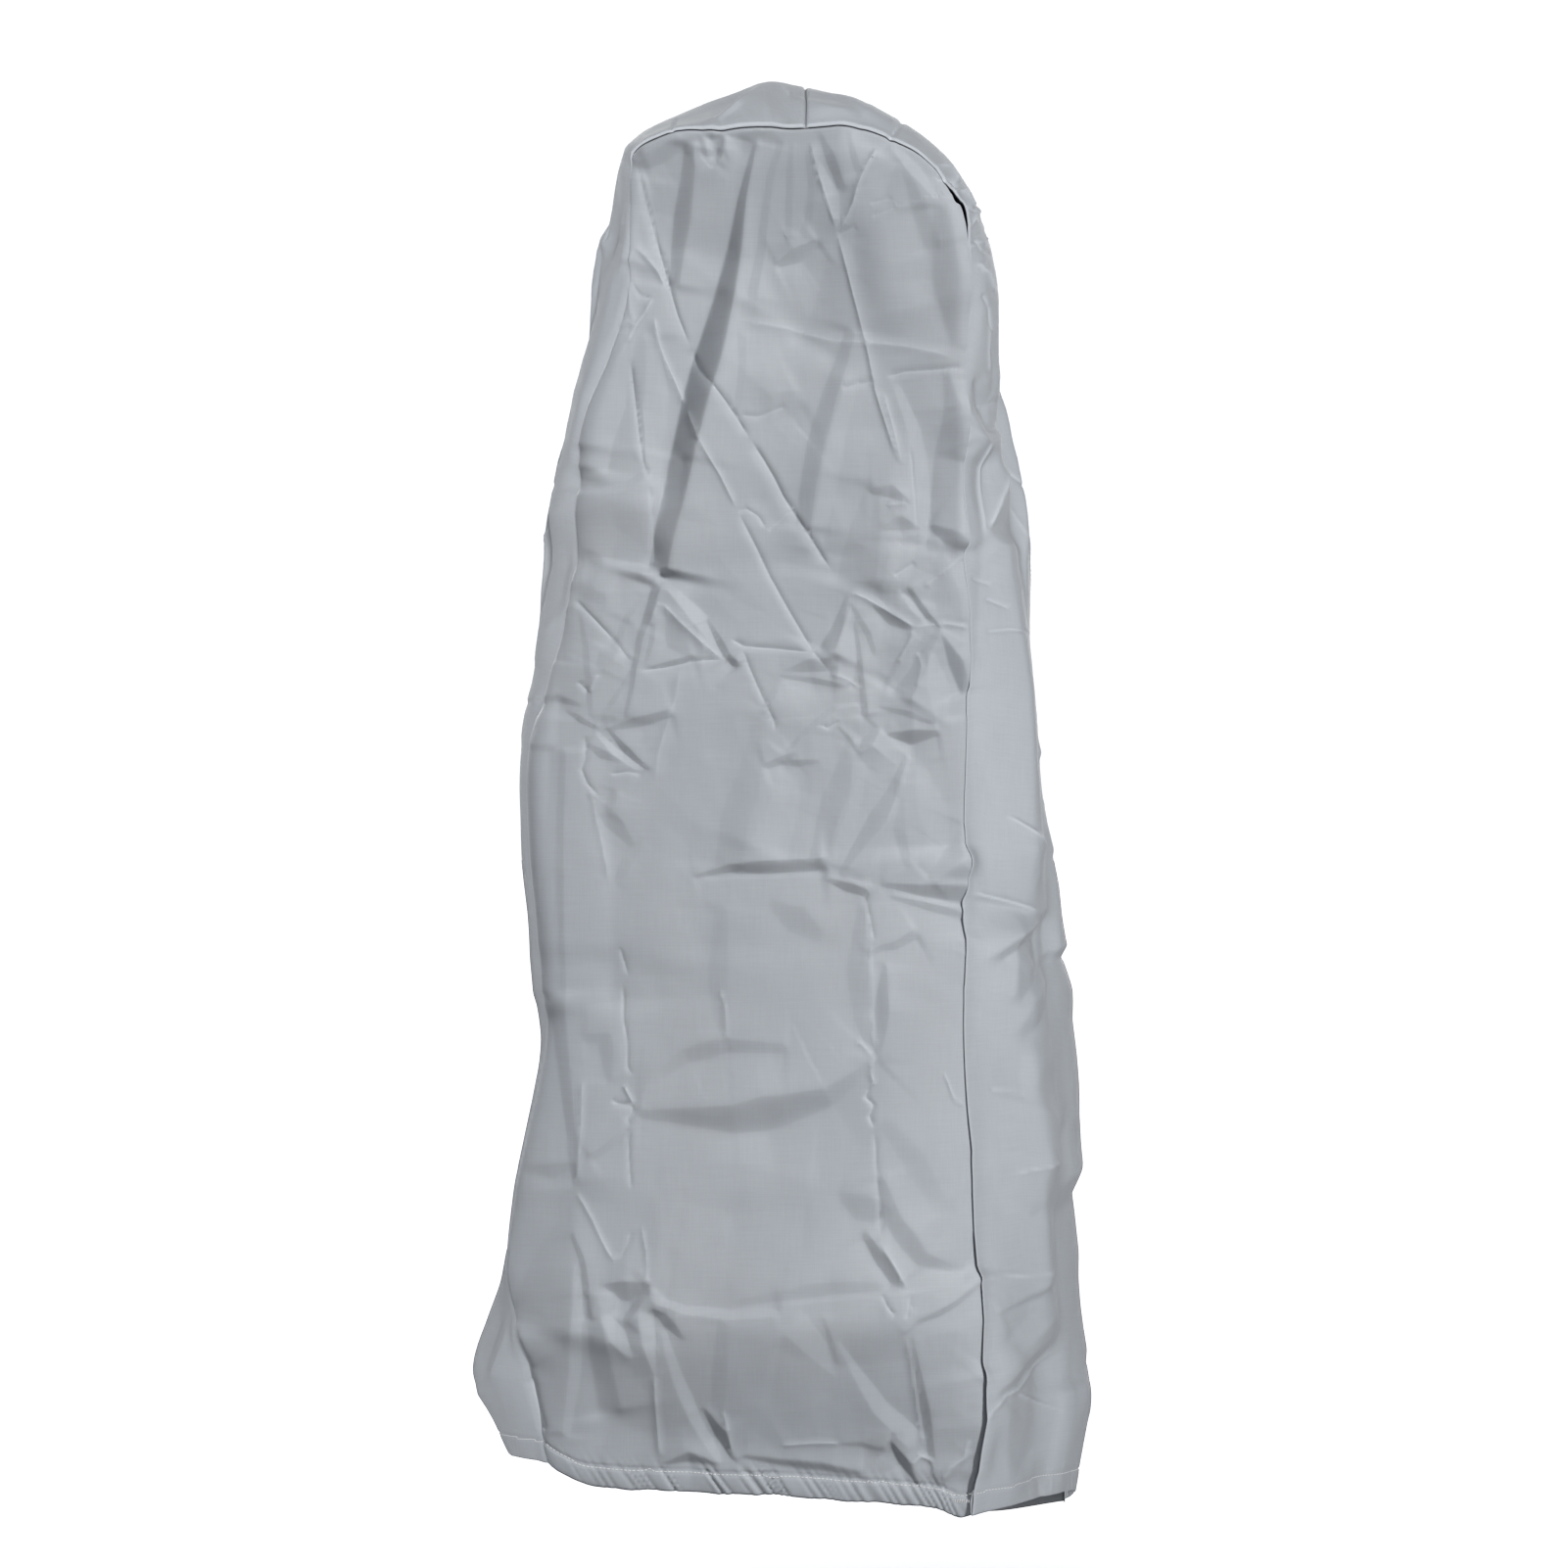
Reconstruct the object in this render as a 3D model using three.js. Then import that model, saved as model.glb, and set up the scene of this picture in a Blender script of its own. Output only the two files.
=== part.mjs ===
// A dust cover of thin woven cloth, as it hangs: a front and a back panel with arched tops, joined by a
// gusset that runs up one side, over the top and down the other. The bottom is open.
// Millimetres, +Z up. The front faces -Y. The origin is under the top ridge, where the cover is held up.
// Heights are given as "down", the distance below the top of the cover.

import * as THREE from 'three';

// Cloth
const CLOTH_THICKNESS = 1.6;
const HEM_THICKNESS = 2.6;
const HEM_HEIGHT = 18;
const SEAM_STANDOFF = 0.25;
const CLOTH_COLOUR = 0xa3a9b0;
const CLOTH_ROUGHNESS = 0.55;

// Mesh steps
const SIDE_STEPS = 52;
const TOP_STEPS = 26;
const GUSSET_STEPS = 6;
const BACK_STEP_RATIO = 2;

// Shape of the gusset's cross-section: 0 is a tent with a sharp ridge, 1 is a round bulge
const RIDGE_ROUNDNESS_AT_TOP = 0.4;
const RIDGE_ROUNDNESS_AT_SIDES = 0.95;
const TENT_DEPTH = 240;

// Folds die out towards the seams over this distance
const SEAM_CALM_WIDTH = 16;

// Sections through the gusset, from the left hem up, over the top and down to the right hem.
// seamX, seamDown: the front seam. half: half the depth between the front and the back seam.
// edgeX, edgeDown, edgeY: the outermost line of the gusset. backX: the back seam, at the front seam's height
// unless backDown says otherwise.
const LEFT_SECTIONS = [
  { seamX: -174, seamDown: 1087, half: 72, edgeX: -210, edgeDown: 1092, edgeY: 0, backX: -194, backDown: 1096 },
  { seamX: -182, seamDown: 1045, half: 76, edgeX: -221, edgeDown: 1057, edgeY: 0, backX: -198 },
  { seamX: -188, seamDown: 1010, half: 80, edgeX: -234, edgeDown: 1026, edgeY: 0, backX: -206 },
  { seamX: -203, seamDown: 976, half: 82, edgeX: -226, edgeDown: 989, edgeY: 0, backX: -210 },
  { seamX: -209, seamDown: 938, half: 82, edgeX: -216, edgeDown: 948, edgeY: 0, backX: -208 },
  { seamX: -198, seamDown: 874, half: 82, edgeX: -203, edgeDown: 882, edgeY: 0, backX: -196 },
  { seamX: -174, seamDown: 742, half: 82, edgeX: -180, edgeDown: 747, edgeY: 0, backX: -178 },
  { seamX: -176, seamDown: 677, half: 82, edgeX: -184, edgeDown: 681, edgeY: 0, backX: -184 },
  { seamX: -183, seamDown: 554, half: 78, edgeX: -191, edgeDown: 558, edgeY: 0, backX: -188 },
  { seamX: -171, seamDown: 482, half: 76, edgeX: -184, edgeDown: 484, edgeY: 0, backX: -176 },
  { seamX: -157, seamDown: 414, half: 74, edgeX: -177, edgeDown: 412, edgeY: 0, backX: -164 },
  { seamX: -143, seamDown: 291, half: 70, edgeX: -165, edgeDown: 285, edgeY: 0, backX: -150 },
  { seamX: -124, seamDown: 228, half: 69, edgeX: -155, edgeDown: 220, edgeY: 0, backX: -134 },
  { seamX: -112, seamDown: 168, half: 67, edgeX: -143, edgeDown: 158, edgeY: 0, backX: -122 },
  { seamX: -110, seamDown: 111, half: 65, edgeX: -128, edgeDown: 102, edgeY: 0, backX: -114 },
];
const TOP_SECTIONS = [
  { seamX: -109, seamDown: 69, half: 62, edgeX: -115, edgeDown: 54, edgeY: 0, backX: -109 },
  { seamX: -88, seamDown: 56, half: 62, edgeX: -98, edgeDown: 38, edgeY: 0, backX: -88 },
  { seamX: -67, seamDown: 50, half: 62, edgeX: -76, edgeDown: 27, edgeY: 0, backX: -67 },
  { seamX: -46, seamDown: 51, half: 62, edgeX: -53, edgeDown: 17, edgeY: 0, backX: -46 },
  { seamX: -21, seamDown: 48, half: 62, edgeX: -28, edgeDown: 8, edgeY: 0, backX: -21 },
  { seamX: 0, seamDown: 47, half: 62, edgeX: 0, edgeDown: 0, edgeY: 0, backX: 0 },
  { seamX: 18, seamDown: 48, half: 62, edgeX: 18, edgeDown: 3, edgeY: 0, backX: 18 },
  { seamX: 48, seamDown: 48, half: 62, edgeX: 48, edgeDown: 10, edgeY: 0, backX: 48 },
  { seamX: 71, seamDown: 50, half: 62, edgeX: 72, edgeDown: 20, edgeY: 0, backX: 71 },
  { seamX: 91, seamDown: 56, half: 62, edgeX: 92, edgeDown: 29, edgeY: 0, backX: 91 },
  { seamX: 113, seamDown: 66, half: 62, edgeX: 114, edgeDown: 43, edgeY: 0, backX: 113 },
  { seamX: 130, seamDown: 85, half: 62, edgeX: 136, edgeDown: 64, edgeY: 0, backX: 131 },
  { seamX: 141, seamDown: 108, half: 62, edgeX: 154, edgeDown: 93, edgeY: 0, backX: 144 },
];
const RIGHT_SECTIONS = [
  { seamX: 147, seamDown: 138, half: 64, edgeX: 167, edgeDown: 129, edgeY: 2, backX: 153 },
  { seamX: 150, seamDown: 184, half: 66, edgeX: 180, edgeDown: 175, edgeY: 4, backX: 161 },
  { seamX: 150, seamDown: 252, half: 68, edgeX: 187, edgeDown: 241, edgeY: 6, backX: 168 },
  { seamX: 150, seamDown: 314, half: 70, edgeX: 191, edgeDown: 308, edgeY: 8, backX: 173 },
  { seamX: 150, seamDown: 375, half: 73, edgeX: 200, edgeDown: 370, edgeY: 10, backX: 180 },
  { seamX: 156, seamDown: 436, half: 75, edgeX: 207, edgeDown: 433, edgeY: 12, backX: 186 },
  { seamX: 155, seamDown: 540, half: 78, edgeX: 218, edgeDown: 539, edgeY: 16, backX: 196 },
  { seamX: 155, seamDown: 662, half: 80, edgeX: 232, edgeDown: 665, edgeY: 20, backX: 212 },
  { seamX: 155, seamDown: 741, half: 82, edgeX: 240, edgeDown: 747, edgeY: 24, backX: 222 },
  { seamX: 157, seamDown: 798, half: 82, edgeX: 243, edgeDown: 806, edgeY: 26, backX: 229 },
  { seamX: 161, seamDown: 862, half: 82, edgeX: 241, edgeDown: 873, edgeY: 28, backX: 230 },
  { seamX: 162, seamDown: 939, half: 82, edgeX: 240, edgeDown: 952, edgeY: 30, backX: 232 },
  { seamX: 164, seamDown: 999, half: 82, edgeX: 242, edgeDown: 1015, edgeY: 30, backX: 234 },
  { seamX: 166, seamDown: 1049, half: 80, edgeX: 245, edgeDown: 1066, edgeY: 30, backX: 236 },
  { seamX: 159, seamDown: 1128, half: 78, edgeX: 243, edgeDown: 1127, edgeY: 30, backX: 237, backDown: 1142 },
];

// The hems between the seams, from left to right
const FRONT_HEM = [
  { x: -165, down: 1094 },
  { x: -138, down: 1106 },
  { x: -76, down: 1111 },
  { x: 9, down: 1115 },
  { x: 60, down: 1119 },
  { x: 127, down: 1124 },
  { x: 147, down: 1131 },
];
const BACK_HEM = [
  { x: -120, down: 1108 },
  { x: -20, down: 1122 },
  { x: 90, down: 1136 },
  { x: 175, down: 1151 },
];

// How far the middle of each panel stands out of the plane between its seams
const FRONT_CROWN = [
  { down: 50, out: 0 },
  { down: 150, out: 4 },
  { down: 300, out: 8 },
  { down: 420, out: 14 },
  { down: 520, out: 20 },
  { down: 700, out: 24 },
  { down: 930, out: 24 },
  { down: 990, out: 18 },
  { down: 1130, out: 2 },
];
const BACK_CROWN = [
  { down: 50, out: 0 },
  { down: 250, out: 5 },
  { down: 550, out: 12 },
  { down: 900, out: 14 },
  { down: 1150, out: 4 },
];
const CROWN_SQUARENESS = 0.6;

// Folds, each along a straight line seen from the front: rise is out of the cloth, or into it if negative,
// and width is the distance in which the fold falls to about a third.
const FRONT_FOLDS = [
  // soft folds that fall from the top seam
  { x1: -13, down1: 63, x2: -69, down2: 254, rise: -7, width: 17 },
  { x1: -69, down1: 254, x2: -91, down2: 402, rise: -5, width: 15 },
  { x1: -50, down1: 75, x2: -59, down2: 159, rise: 4, width: 13 },
  { x1: 9, down1: 60, x2: 0, down2: 178, rise: 3, width: 15 },
  // the two long ridges that run from the left shoulder to the right of the middle
  { x1: -108, down1: 79, x2: -65, down2: 217, rise: 5, width: 12 },
  { x1: -65, down1: 217, x2: 5, down2: 334, rise: 5, width: 12 },
  { x1: 5, down1: 334, x2: 60, down2: 406, rise: 4, width: 12 },
  { x1: -93, down1: 194, x2: -57, down2: 287, rise: 4, width: 12 },
  { x1: -57, down1: 287, x2: 55, down2: 474, rise: 4, width: 12 },
  // the forked fold at the upper right
  { x1: 30, down1: 63, x2: 56, down2: 159, rise: 4, width: 12 },
  { x1: 56, down1: 159, x2: 99, down2: 307, rise: -4, width: 14 },
  { x1: 91, down1: 63, x2: 54, down2: 125, rise: -4, width: 12 },
  // the left side above the middle
  { x1: -112, down1: 217, x2: -141, down2: 288, rise: 4, width: 13 },
  { x1: -156, down1: 353, x2: -143, down2: 436, rise: 4, width: 14 },
  // the crumpled zone at mid-height
  { x1: -88, down1: 408, x2: -109, down2: 474, rise: 5, width: 12 },
  { x1: -83, down1: 399, x2: -29, down2: 466, rise: -6, width: 13 },
  { x1: -101, down1: 471, x2: -24, down2: 465, rise: 5, width: 12 },
  { x1: -109, down1: 474, x2: -138, down2: 512, rise: 4, width: 12 },
  { x1: 57, down1: 410, x2: 41, down2: 467, rise: -7, width: 13 },
  { x1: 61, down1: 409, x2: 113, down2: 437, rise: 5, width: 12 },
  { x1: 62, down1: 420, x2: 71, down2: 482, rise: 4, width: 12 },
  { x1: -24, down1: 455, x2: 37, down2: 458, rise: 5, width: 12 },
  { x1: 66, down1: 496, x2: -1, down2: 541, rise: -6, width: 13 },
  { x1: 113, down1: 437, x2: 98, down2: 491, rise: 4, width: 12 },
  { x1: 116, down1: 482, x2: 108, down2: 558, rise: -5, width: 20 },
  // the crease across the waist, and the hollow above it
  { x1: -40, down1: 629, x2: 74, down2: 638, rise: 4, width: 13 },
  { x1: 74, down1: 638, x2: 152, down2: 656, rise: 4, width: 13 },
  { x1: -13, down1: 604, x2: 55, down2: 610, rise: -3, width: 20 },
  // the wide hollow lower down
  { x1: -103, down1: 809, x2: 82, down2: 783, rise: -5, width: 20 },
  { x1: -97, down1: 841, x2: 70, down2: 824, rise: 3, width: 20 },
  // upright creases from packing, and the fold beside the left seam
  { x1: -125, down1: 642, x2: -109, down2: 939, rise: -3, width: 12 },
  { x1: 75, down1: 630, x2: 92, down2: 931, rise: -3, width: 12 },
  { x1: -168, down1: 741, x2: -143, down2: 959, rise: 4, width: 13 },
  // the ridge where the cloth turns in towards the hem, and what runs down from it
  { x1: -91, down1: 970, x2: -4, down2: 965, rise: 5, width: 13 },
  { x1: -4, down1: 965, x2: 85, down2: 952, rise: 5, width: 13 },
  { x1: 85, down1: 952, x2: 161, down2: 943, rise: 5, width: 13 },
  { x1: 158, down1: 948, x2: 105, down2: 982, rise: -6, width: 13 },
  { x1: -124, down1: 946, x2: -101, down2: 969, rise: -5, width: 12 },
  { x1: -89, down1: 973, x2: -88, down2: 1081, rise: -3, width: 12 },
  { x1: -36, down1: 973, x2: -30, down2: 1086, rise: -4, width: 12 },
  { x1: 44, down1: 977, x2: 114, down2: 1066, rise: -4, width: 12 },
  { x1: 106, down1: 986, x2: 128, down2: 1103, rise: 4, width: 12 },
];
const BACK_FOLDS = [
  { x1: -60, down1: 70, x2: -95, down2: 420, rise: 5, width: 24 },
  { x1: 70, down1: 70, x2: 90, down2: 360, rise: 5, width: 24 },
  { x1: -100, down1: 470, x2: 120, down2: 520, rise: -5, width: 26 },
  { x1: -110, down1: 900, x2: 150, down2: 930, rise: 5, width: 26 },
  { x1: 20, down1: 960, x2: 40, down2: 1100, rise: -5, width: 24 },
];
const GUSSET_FOLDS = [
  { x1: 158, down1: 250, x2: 151, down2: 375, rise: 3, width: 12 },
  { x1: 180, down1: 315, x2: 153, down2: 372, rise: 3, width: 12 },
  { x1: 200, down1: 604, x2: 226, down2: 634, rise: 3, width: 12 },
  { x1: 156, down1: 648, x2: 230, down2: 662, rise: 4, width: 13 },
  { x1: 244, down1: 800, x2: 216, down2: 850, rise: 4, width: 14 },
  { x1: 163, down1: 942, x2: 243, down2: 945, rise: 4, width: 13 },
  { x1: 192, down1: 1034, x2: 243, down2: 1046, rise: 4, width: 13 },
  { x1: -224, down1: 1016, x2: -205, down2: 1075, rise: -4, width: 12 },
];

// A smooth curve through the rows of a table that never overshoots them, as a function of the row's place.
function smoothColumn(places, values) {
  const slope = (k) => (values[k + 1] - values[k]) / (places[k + 1] - places[k]);
  const tangents = values.map((_, k) => {
    if (k === 0) {
      return slope(0);
    }
    if (k === values.length - 1) {
      return slope(k - 1);
    }
    const before = slope(k - 1);
    const after = slope(k);
    return before * after <= 0 ? 0 : (2 * before * after) / (before + after);
  });
  return (place) => {
    const last = places.length - 1;
    const at = THREE.MathUtils.clamp(place, places[0], places[last]);
    let k = 0;
    while (k < last - 1 && at > places[k + 1]) {
      k += 1;
    }
    const length = places[k + 1] - places[k];
    const t = (at - places[k]) / length;
    const keepStart = (1 + 2 * t) * (1 - t) * (1 - t);
    const keepEnd = t * t * (3 - 2 * t);
    const leanStart = t * (1 - t) * (1 - t) * length;
    const leanEnd = t * t * (t - 1) * length;
    return keepStart * values[k] + keepEnd * values[k + 1] + leanStart * tangents[k] + leanEnd * tangents[k + 1];
  };
}

// The places of a table's rows: the running length of the line through two of its columns.
function runningLength(rows, acrossKey, downKey) {
  const places = [0];
  for (let k = 1; k < rows.length; k += 1) {
    const across = rows[k][acrossKey] - rows[k - 1][acrossKey];
    const down = rows[k][downKey] - rows[k - 1][downKey];
    places.push(places[k - 1] + Math.hypot(across, down));
  }
  return places;
}

function tableOfOut(rows) {
  return smoothColumn(rows.map((row) => row.down), rows.map((row) => row.out));
}

// The height of the folds at a point seen from the front.
function foldHeight(folds, x, down) {
  let height = 0;
  for (const fold of folds) {
    const runX = fold.x2 - fold.x1;
    const runDown = fold.down2 - fold.down1;
    const along = ((x - fold.x1) * runX + (down - fold.down1) * runDown) / (runX * runX + runDown * runDown);
    const kept = THREE.MathUtils.clamp(along, 0, 1);
    const away = Math.hypot(x - fold.x1 - kept * runX, down - fold.down1 - kept * runDown);
    height += fold.rise * Math.exp(-((away / fold.width) ** 2));
  }
  return height;
}

// The sections of the gusset as smooth columns, and the places of its corners.
const SECTIONS = [...LEFT_SECTIONS, ...TOP_SECTIONS, ...RIGHT_SECTIONS];
const SECTION_PLACES = runningLength(SECTIONS, 'seamX', 'seamDown');
const LEFT_CORNER_PLACE = SECTION_PLACES[LEFT_SECTIONS.length];
const RIGHT_CORNER_PLACE = SECTION_PLACES[LEFT_SECTIONS.length + TOP_SECTIONS.length - 1];
const END_PLACE = SECTION_PLACES[SECTIONS.length - 1];

function sectionColumn(read) {
  return smoothColumn(SECTION_PLACES, SECTIONS.map(read));
}

const seamX = sectionColumn((row) => row.seamX);
const seamDown = sectionColumn((row) => row.seamDown);
const half = sectionColumn((row) => row.half);
const edgeX = sectionColumn((row) => row.edgeX);
const edgeDown = sectionColumn((row) => row.edgeDown);
const edgeY = sectionColumn((row) => row.edgeY);
const backX = sectionColumn((row) => row.backX);
const backDown = sectionColumn((row) => row.backDown ?? row.seamDown);

// Stations along the seams: up the left side, over the top and down the right side. The first and the last
// steps of the sides are as tall as the hem casing.
function placesOfStations() {
  const places = [0];
  const leftStep = (LEFT_CORNER_PLACE - HEM_HEIGHT) / (SIDE_STEPS - 1);
  const topStep = (RIGHT_CORNER_PLACE - LEFT_CORNER_PLACE) / TOP_STEPS;
  const rightStep = (END_PLACE - HEM_HEIGHT - RIGHT_CORNER_PLACE) / (SIDE_STEPS - 1);
  for (let k = 0; k < SIDE_STEPS; k += 1) {
    places.push(HEM_HEIGHT + k * leftStep);
  }
  for (let k = 1; k <= TOP_STEPS; k += 1) {
    places.push(LEFT_CORNER_PLACE + k * topStep);
  }
  for (let k = 1; k < SIDE_STEPS; k += 1) {
    places.push(RIGHT_CORNER_PLACE + k * rightStep);
  }
  places.push(END_PLACE);
  return places;
}

const STATIONS = placesOfStations();
const STATION_COUNT = STATIONS.length;
const LEFT_CORNER = SIDE_STEPS;
const RIGHT_CORNER = SIDE_STEPS + TOP_STEPS;
const TOP_MIDDLE = LEFT_CORNER + TOP_STEPS / 2;

function cloth(x, y, down) {
  return new THREE.Vector3(x, y, CLOTH_THICKNESS - down);
}

function frontSeamPoint(station) {
  const place = STATIONS[station];
  return cloth(seamX(place), -half(place), seamDown(place));
}

// The back panel has every second station, so the points between lie on its straight edges.
function backSeamPoint(station) {
  const beyond = station % BACK_STEP_RATIO;
  if (beyond !== 0) {
    return backSeamPoint(station - beyond).lerp(backSeamPoint(station - beyond + BACK_STEP_RATIO), 0.5);
  }
  const place = STATIONS[station];
  return cloth(backX(place), half(place), backDown(place));
}

// A point of the gusset: across runs from 0 at the front seam to 1 at the back seam.
function gussetPoint(station, across) {
  const place = STATIONS[station];
  const front = frontSeamPoint(station);
  const back = backSeamPoint(station);
  const edge = cloth(edgeX(place), edgeY(place), edgeDown(place));
  const towardsSides = THREE.MathUtils.smoothstep(seamDown(place), 0, TENT_DEPTH);
  const roundness = THREE.MathUtils.lerp(RIDGE_ROUNDNESS_AT_TOP, RIDGE_ROUNDNESS_AT_SIDES, towardsSides);
  const tent = across < 0.5 ? front.clone().lerp(edge, 2 * across) : edge.clone().lerp(back, 2 * across - 1);
  const bulge = new THREE.Vector3()
    .addScaledVector(front, (1 - across) * (1 - 2 * across))
    .addScaledVector(edge, 4 * across * (1 - across))
    .addScaledVector(back, across * (2 * across - 1));
  return tent.lerp(bulge, roundness);
}

// The line of a hem from the left seam to the right seam, as a function of the share of its length.
function hemLine(rows, start, end, y) {
  const inside = rows.map((row) => cloth(row.x, y, row.down));
  const curve = new THREE.CatmullRomCurve3([start, ...inside, end], false, 'centripetal');
  return (share) => curve.getPointAt(share);
}

// A panel's surface, spread between its two side seams, its top seam and its hem. along runs from 0 at the
// left seam to 1 at the right seam, and level counts the side stations up from the hem.
function panelPoint(seamPoint, hem, along, level) {
  const left = seamPoint(level);
  const right = seamPoint(STATION_COUNT - 1 - level);
  const top = seamPoint(LEFT_CORNER + Math.round(along * TOP_STEPS));
  const bottom = hem(along);
  const up = (STATIONS[level] - STATIONS[0]) / (STATIONS[LEFT_CORNER] - STATIONS[0]);
  const point = new THREE.Vector3();
  point.addScaledVector(left, 1 - along).addScaledVector(right, along);
  point.addScaledVector(bottom, 1 - up).addScaledVector(top, up);
  point.addScaledVector(seamPoint(0), -(1 - along) * (1 - up));
  point.addScaledVector(seamPoint(STATION_COUNT - 1), -along * (1 - up));
  point.addScaledVector(seamPoint(LEFT_CORNER), -(1 - along) * up);
  point.addScaledVector(seamPoint(RIGHT_CORNER), -along * up);
  return point;
}

function grid(columns, rows, pointAt) {
  const points = [];
  for (let row = 0; row <= rows; row += 1) {
    points.push([]);
    for (let column = 0; column <= columns; column += 1) {
      points[row].push(pointAt(column, row));
    }
  }
  return points;
}

// The unit normals of a grid, from the differences between its neighbours.
function gridNormals(points, facing) {
  const rows = points.length - 1;
  const columns = points[0].length - 1;
  return grid(columns, rows, (column, row) => {
    const across = points[row][Math.min(column + 1, columns)].clone().sub(points[row][Math.max(column - 1, 0)]);
    const up = points[Math.min(row + 1, rows)][column].clone().sub(points[Math.max(row - 1, 0)][column]);
    return across.cross(up).normalize().multiplyScalar(facing);
  });
}

// How calm the cloth is beside a seam: 0 on it and 1 well away from it.
function calmBesideSeams(column, columns, row, rows, points) {
  const here = points[row][column];
  const seams = [points[row][0], points[row][columns], points[rows][column]];
  return seams.reduce((least, seam) => Math.min(least, here.distanceTo(seam) / SEAM_CALM_WIDTH), 1);
}

function panelGrid(columns, ratio, seamPoint, hem, crown, folds, outward) {
  const rows = SIDE_STEPS / ratio;
  const flat = grid(columns, rows, (column, row) => panelPoint(seamPoint, hem, column / columns, row * ratio));
  return grid(columns, rows, (column, row) => {
    const point = flat[row][column].clone();
    const down = CLOTH_THICKNESS - point.z;
    const across = Math.max(Math.sin((Math.PI * column) / columns), 0);
    const fold = foldHeight(folds, point.x, down) * calmBesideSeams(column, columns, row, rows, flat);
    point.y += outward * (crown(down) * across ** CROWN_SQUARENESS + fold);
    return point;
  });
}

function gussetGrid(firstStation, lastStation) {
  const rows = lastStation - firstStation;
  const smooth = grid(GUSSET_STEPS, rows, (column, row) => gussetPoint(firstStation + row, column / GUSSET_STEPS));
  const inward = gridNormals(smooth, 1);
  return grid(GUSSET_STEPS, rows, (column, row) => {
    const point = smooth[row][column].clone();
    const visible = Math.max(Math.sin((Math.PI * column) / GUSSET_STEPS), 0);
    const fold = column <= GUSSET_STEPS / 2 ? foldHeight(GUSSET_FOLDS, point.x, CLOTH_THICKNESS - point.z) : 0;
    return point.addScaledVector(inward[row][column], -visible * fold);
  });
}

// The surfaces of the four pieces of cloth, meeting at their seams.
const frontHem = hemLine(FRONT_HEM, frontSeamPoint(0), frontSeamPoint(STATION_COUNT - 1), -half(0));
const backHem = hemLine(BACK_HEM, backSeamPoint(0), backSeamPoint(STATION_COUNT - 1), half(0));
const frontCloth = panelGrid(TOP_STEPS, 1, frontSeamPoint, frontHem, tableOfOut(FRONT_CROWN), FRONT_FOLDS, -1);
const backCloth = panelGrid(
  TOP_STEPS / BACK_STEP_RATIO, BACK_STEP_RATIO, backSeamPoint, backHem, tableOfOut(BACK_CROWN), BACK_FOLDS, 1,
);
const gussetCloth = gussetGrid(0, STATION_COUNT - 1);
const frontInward = gridNormals(frontCloth, -1);
const backInward = gridNormals(backCloth, 1);
const gussetInward = gridNormals(gussetCloth, 1);

// Where a station lies on the rim of a panel's grid that has one row for each ratio stations.
function rimCell(station, ratio) {
  const rows = SIDE_STEPS / ratio;
  const columns = TOP_STEPS / ratio;
  if (station <= LEFT_CORNER) {
    return { column: 0, row: station / ratio };
  }
  if (station <= RIGHT_CORNER) {
    return { column: (station - LEFT_CORNER) / ratio, row: rows };
  }
  return { column: columns, row: (STATION_COUNT - 1 - station) / ratio };
}

// The direction from a seam into the middle between the two pieces that meet there, as long as it takes for
// both to keep their thickness.
function mitre(first, second) {
  const middle = first.clone().add(second).normalize();
  return middle.divideScalar(middle.dot(first));
}

function frontMitre(station) {
  const cell = rimCell(station, 1);
  return mitre(frontInward[cell.row][cell.column], gussetInward[station][0]);
}

function backMitre(station) {
  const beyond = station % BACK_STEP_RATIO;
  if (beyond !== 0) {
    return backMitre(station - beyond).lerp(backMitre(station - beyond + BACK_STEP_RATIO), 0.5);
  }
  const cell = rimCell(station, BACK_STEP_RATIO);
  return mitre(backInward[cell.row][cell.column], gussetInward[station][GUSSET_STEPS]);
}

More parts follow.
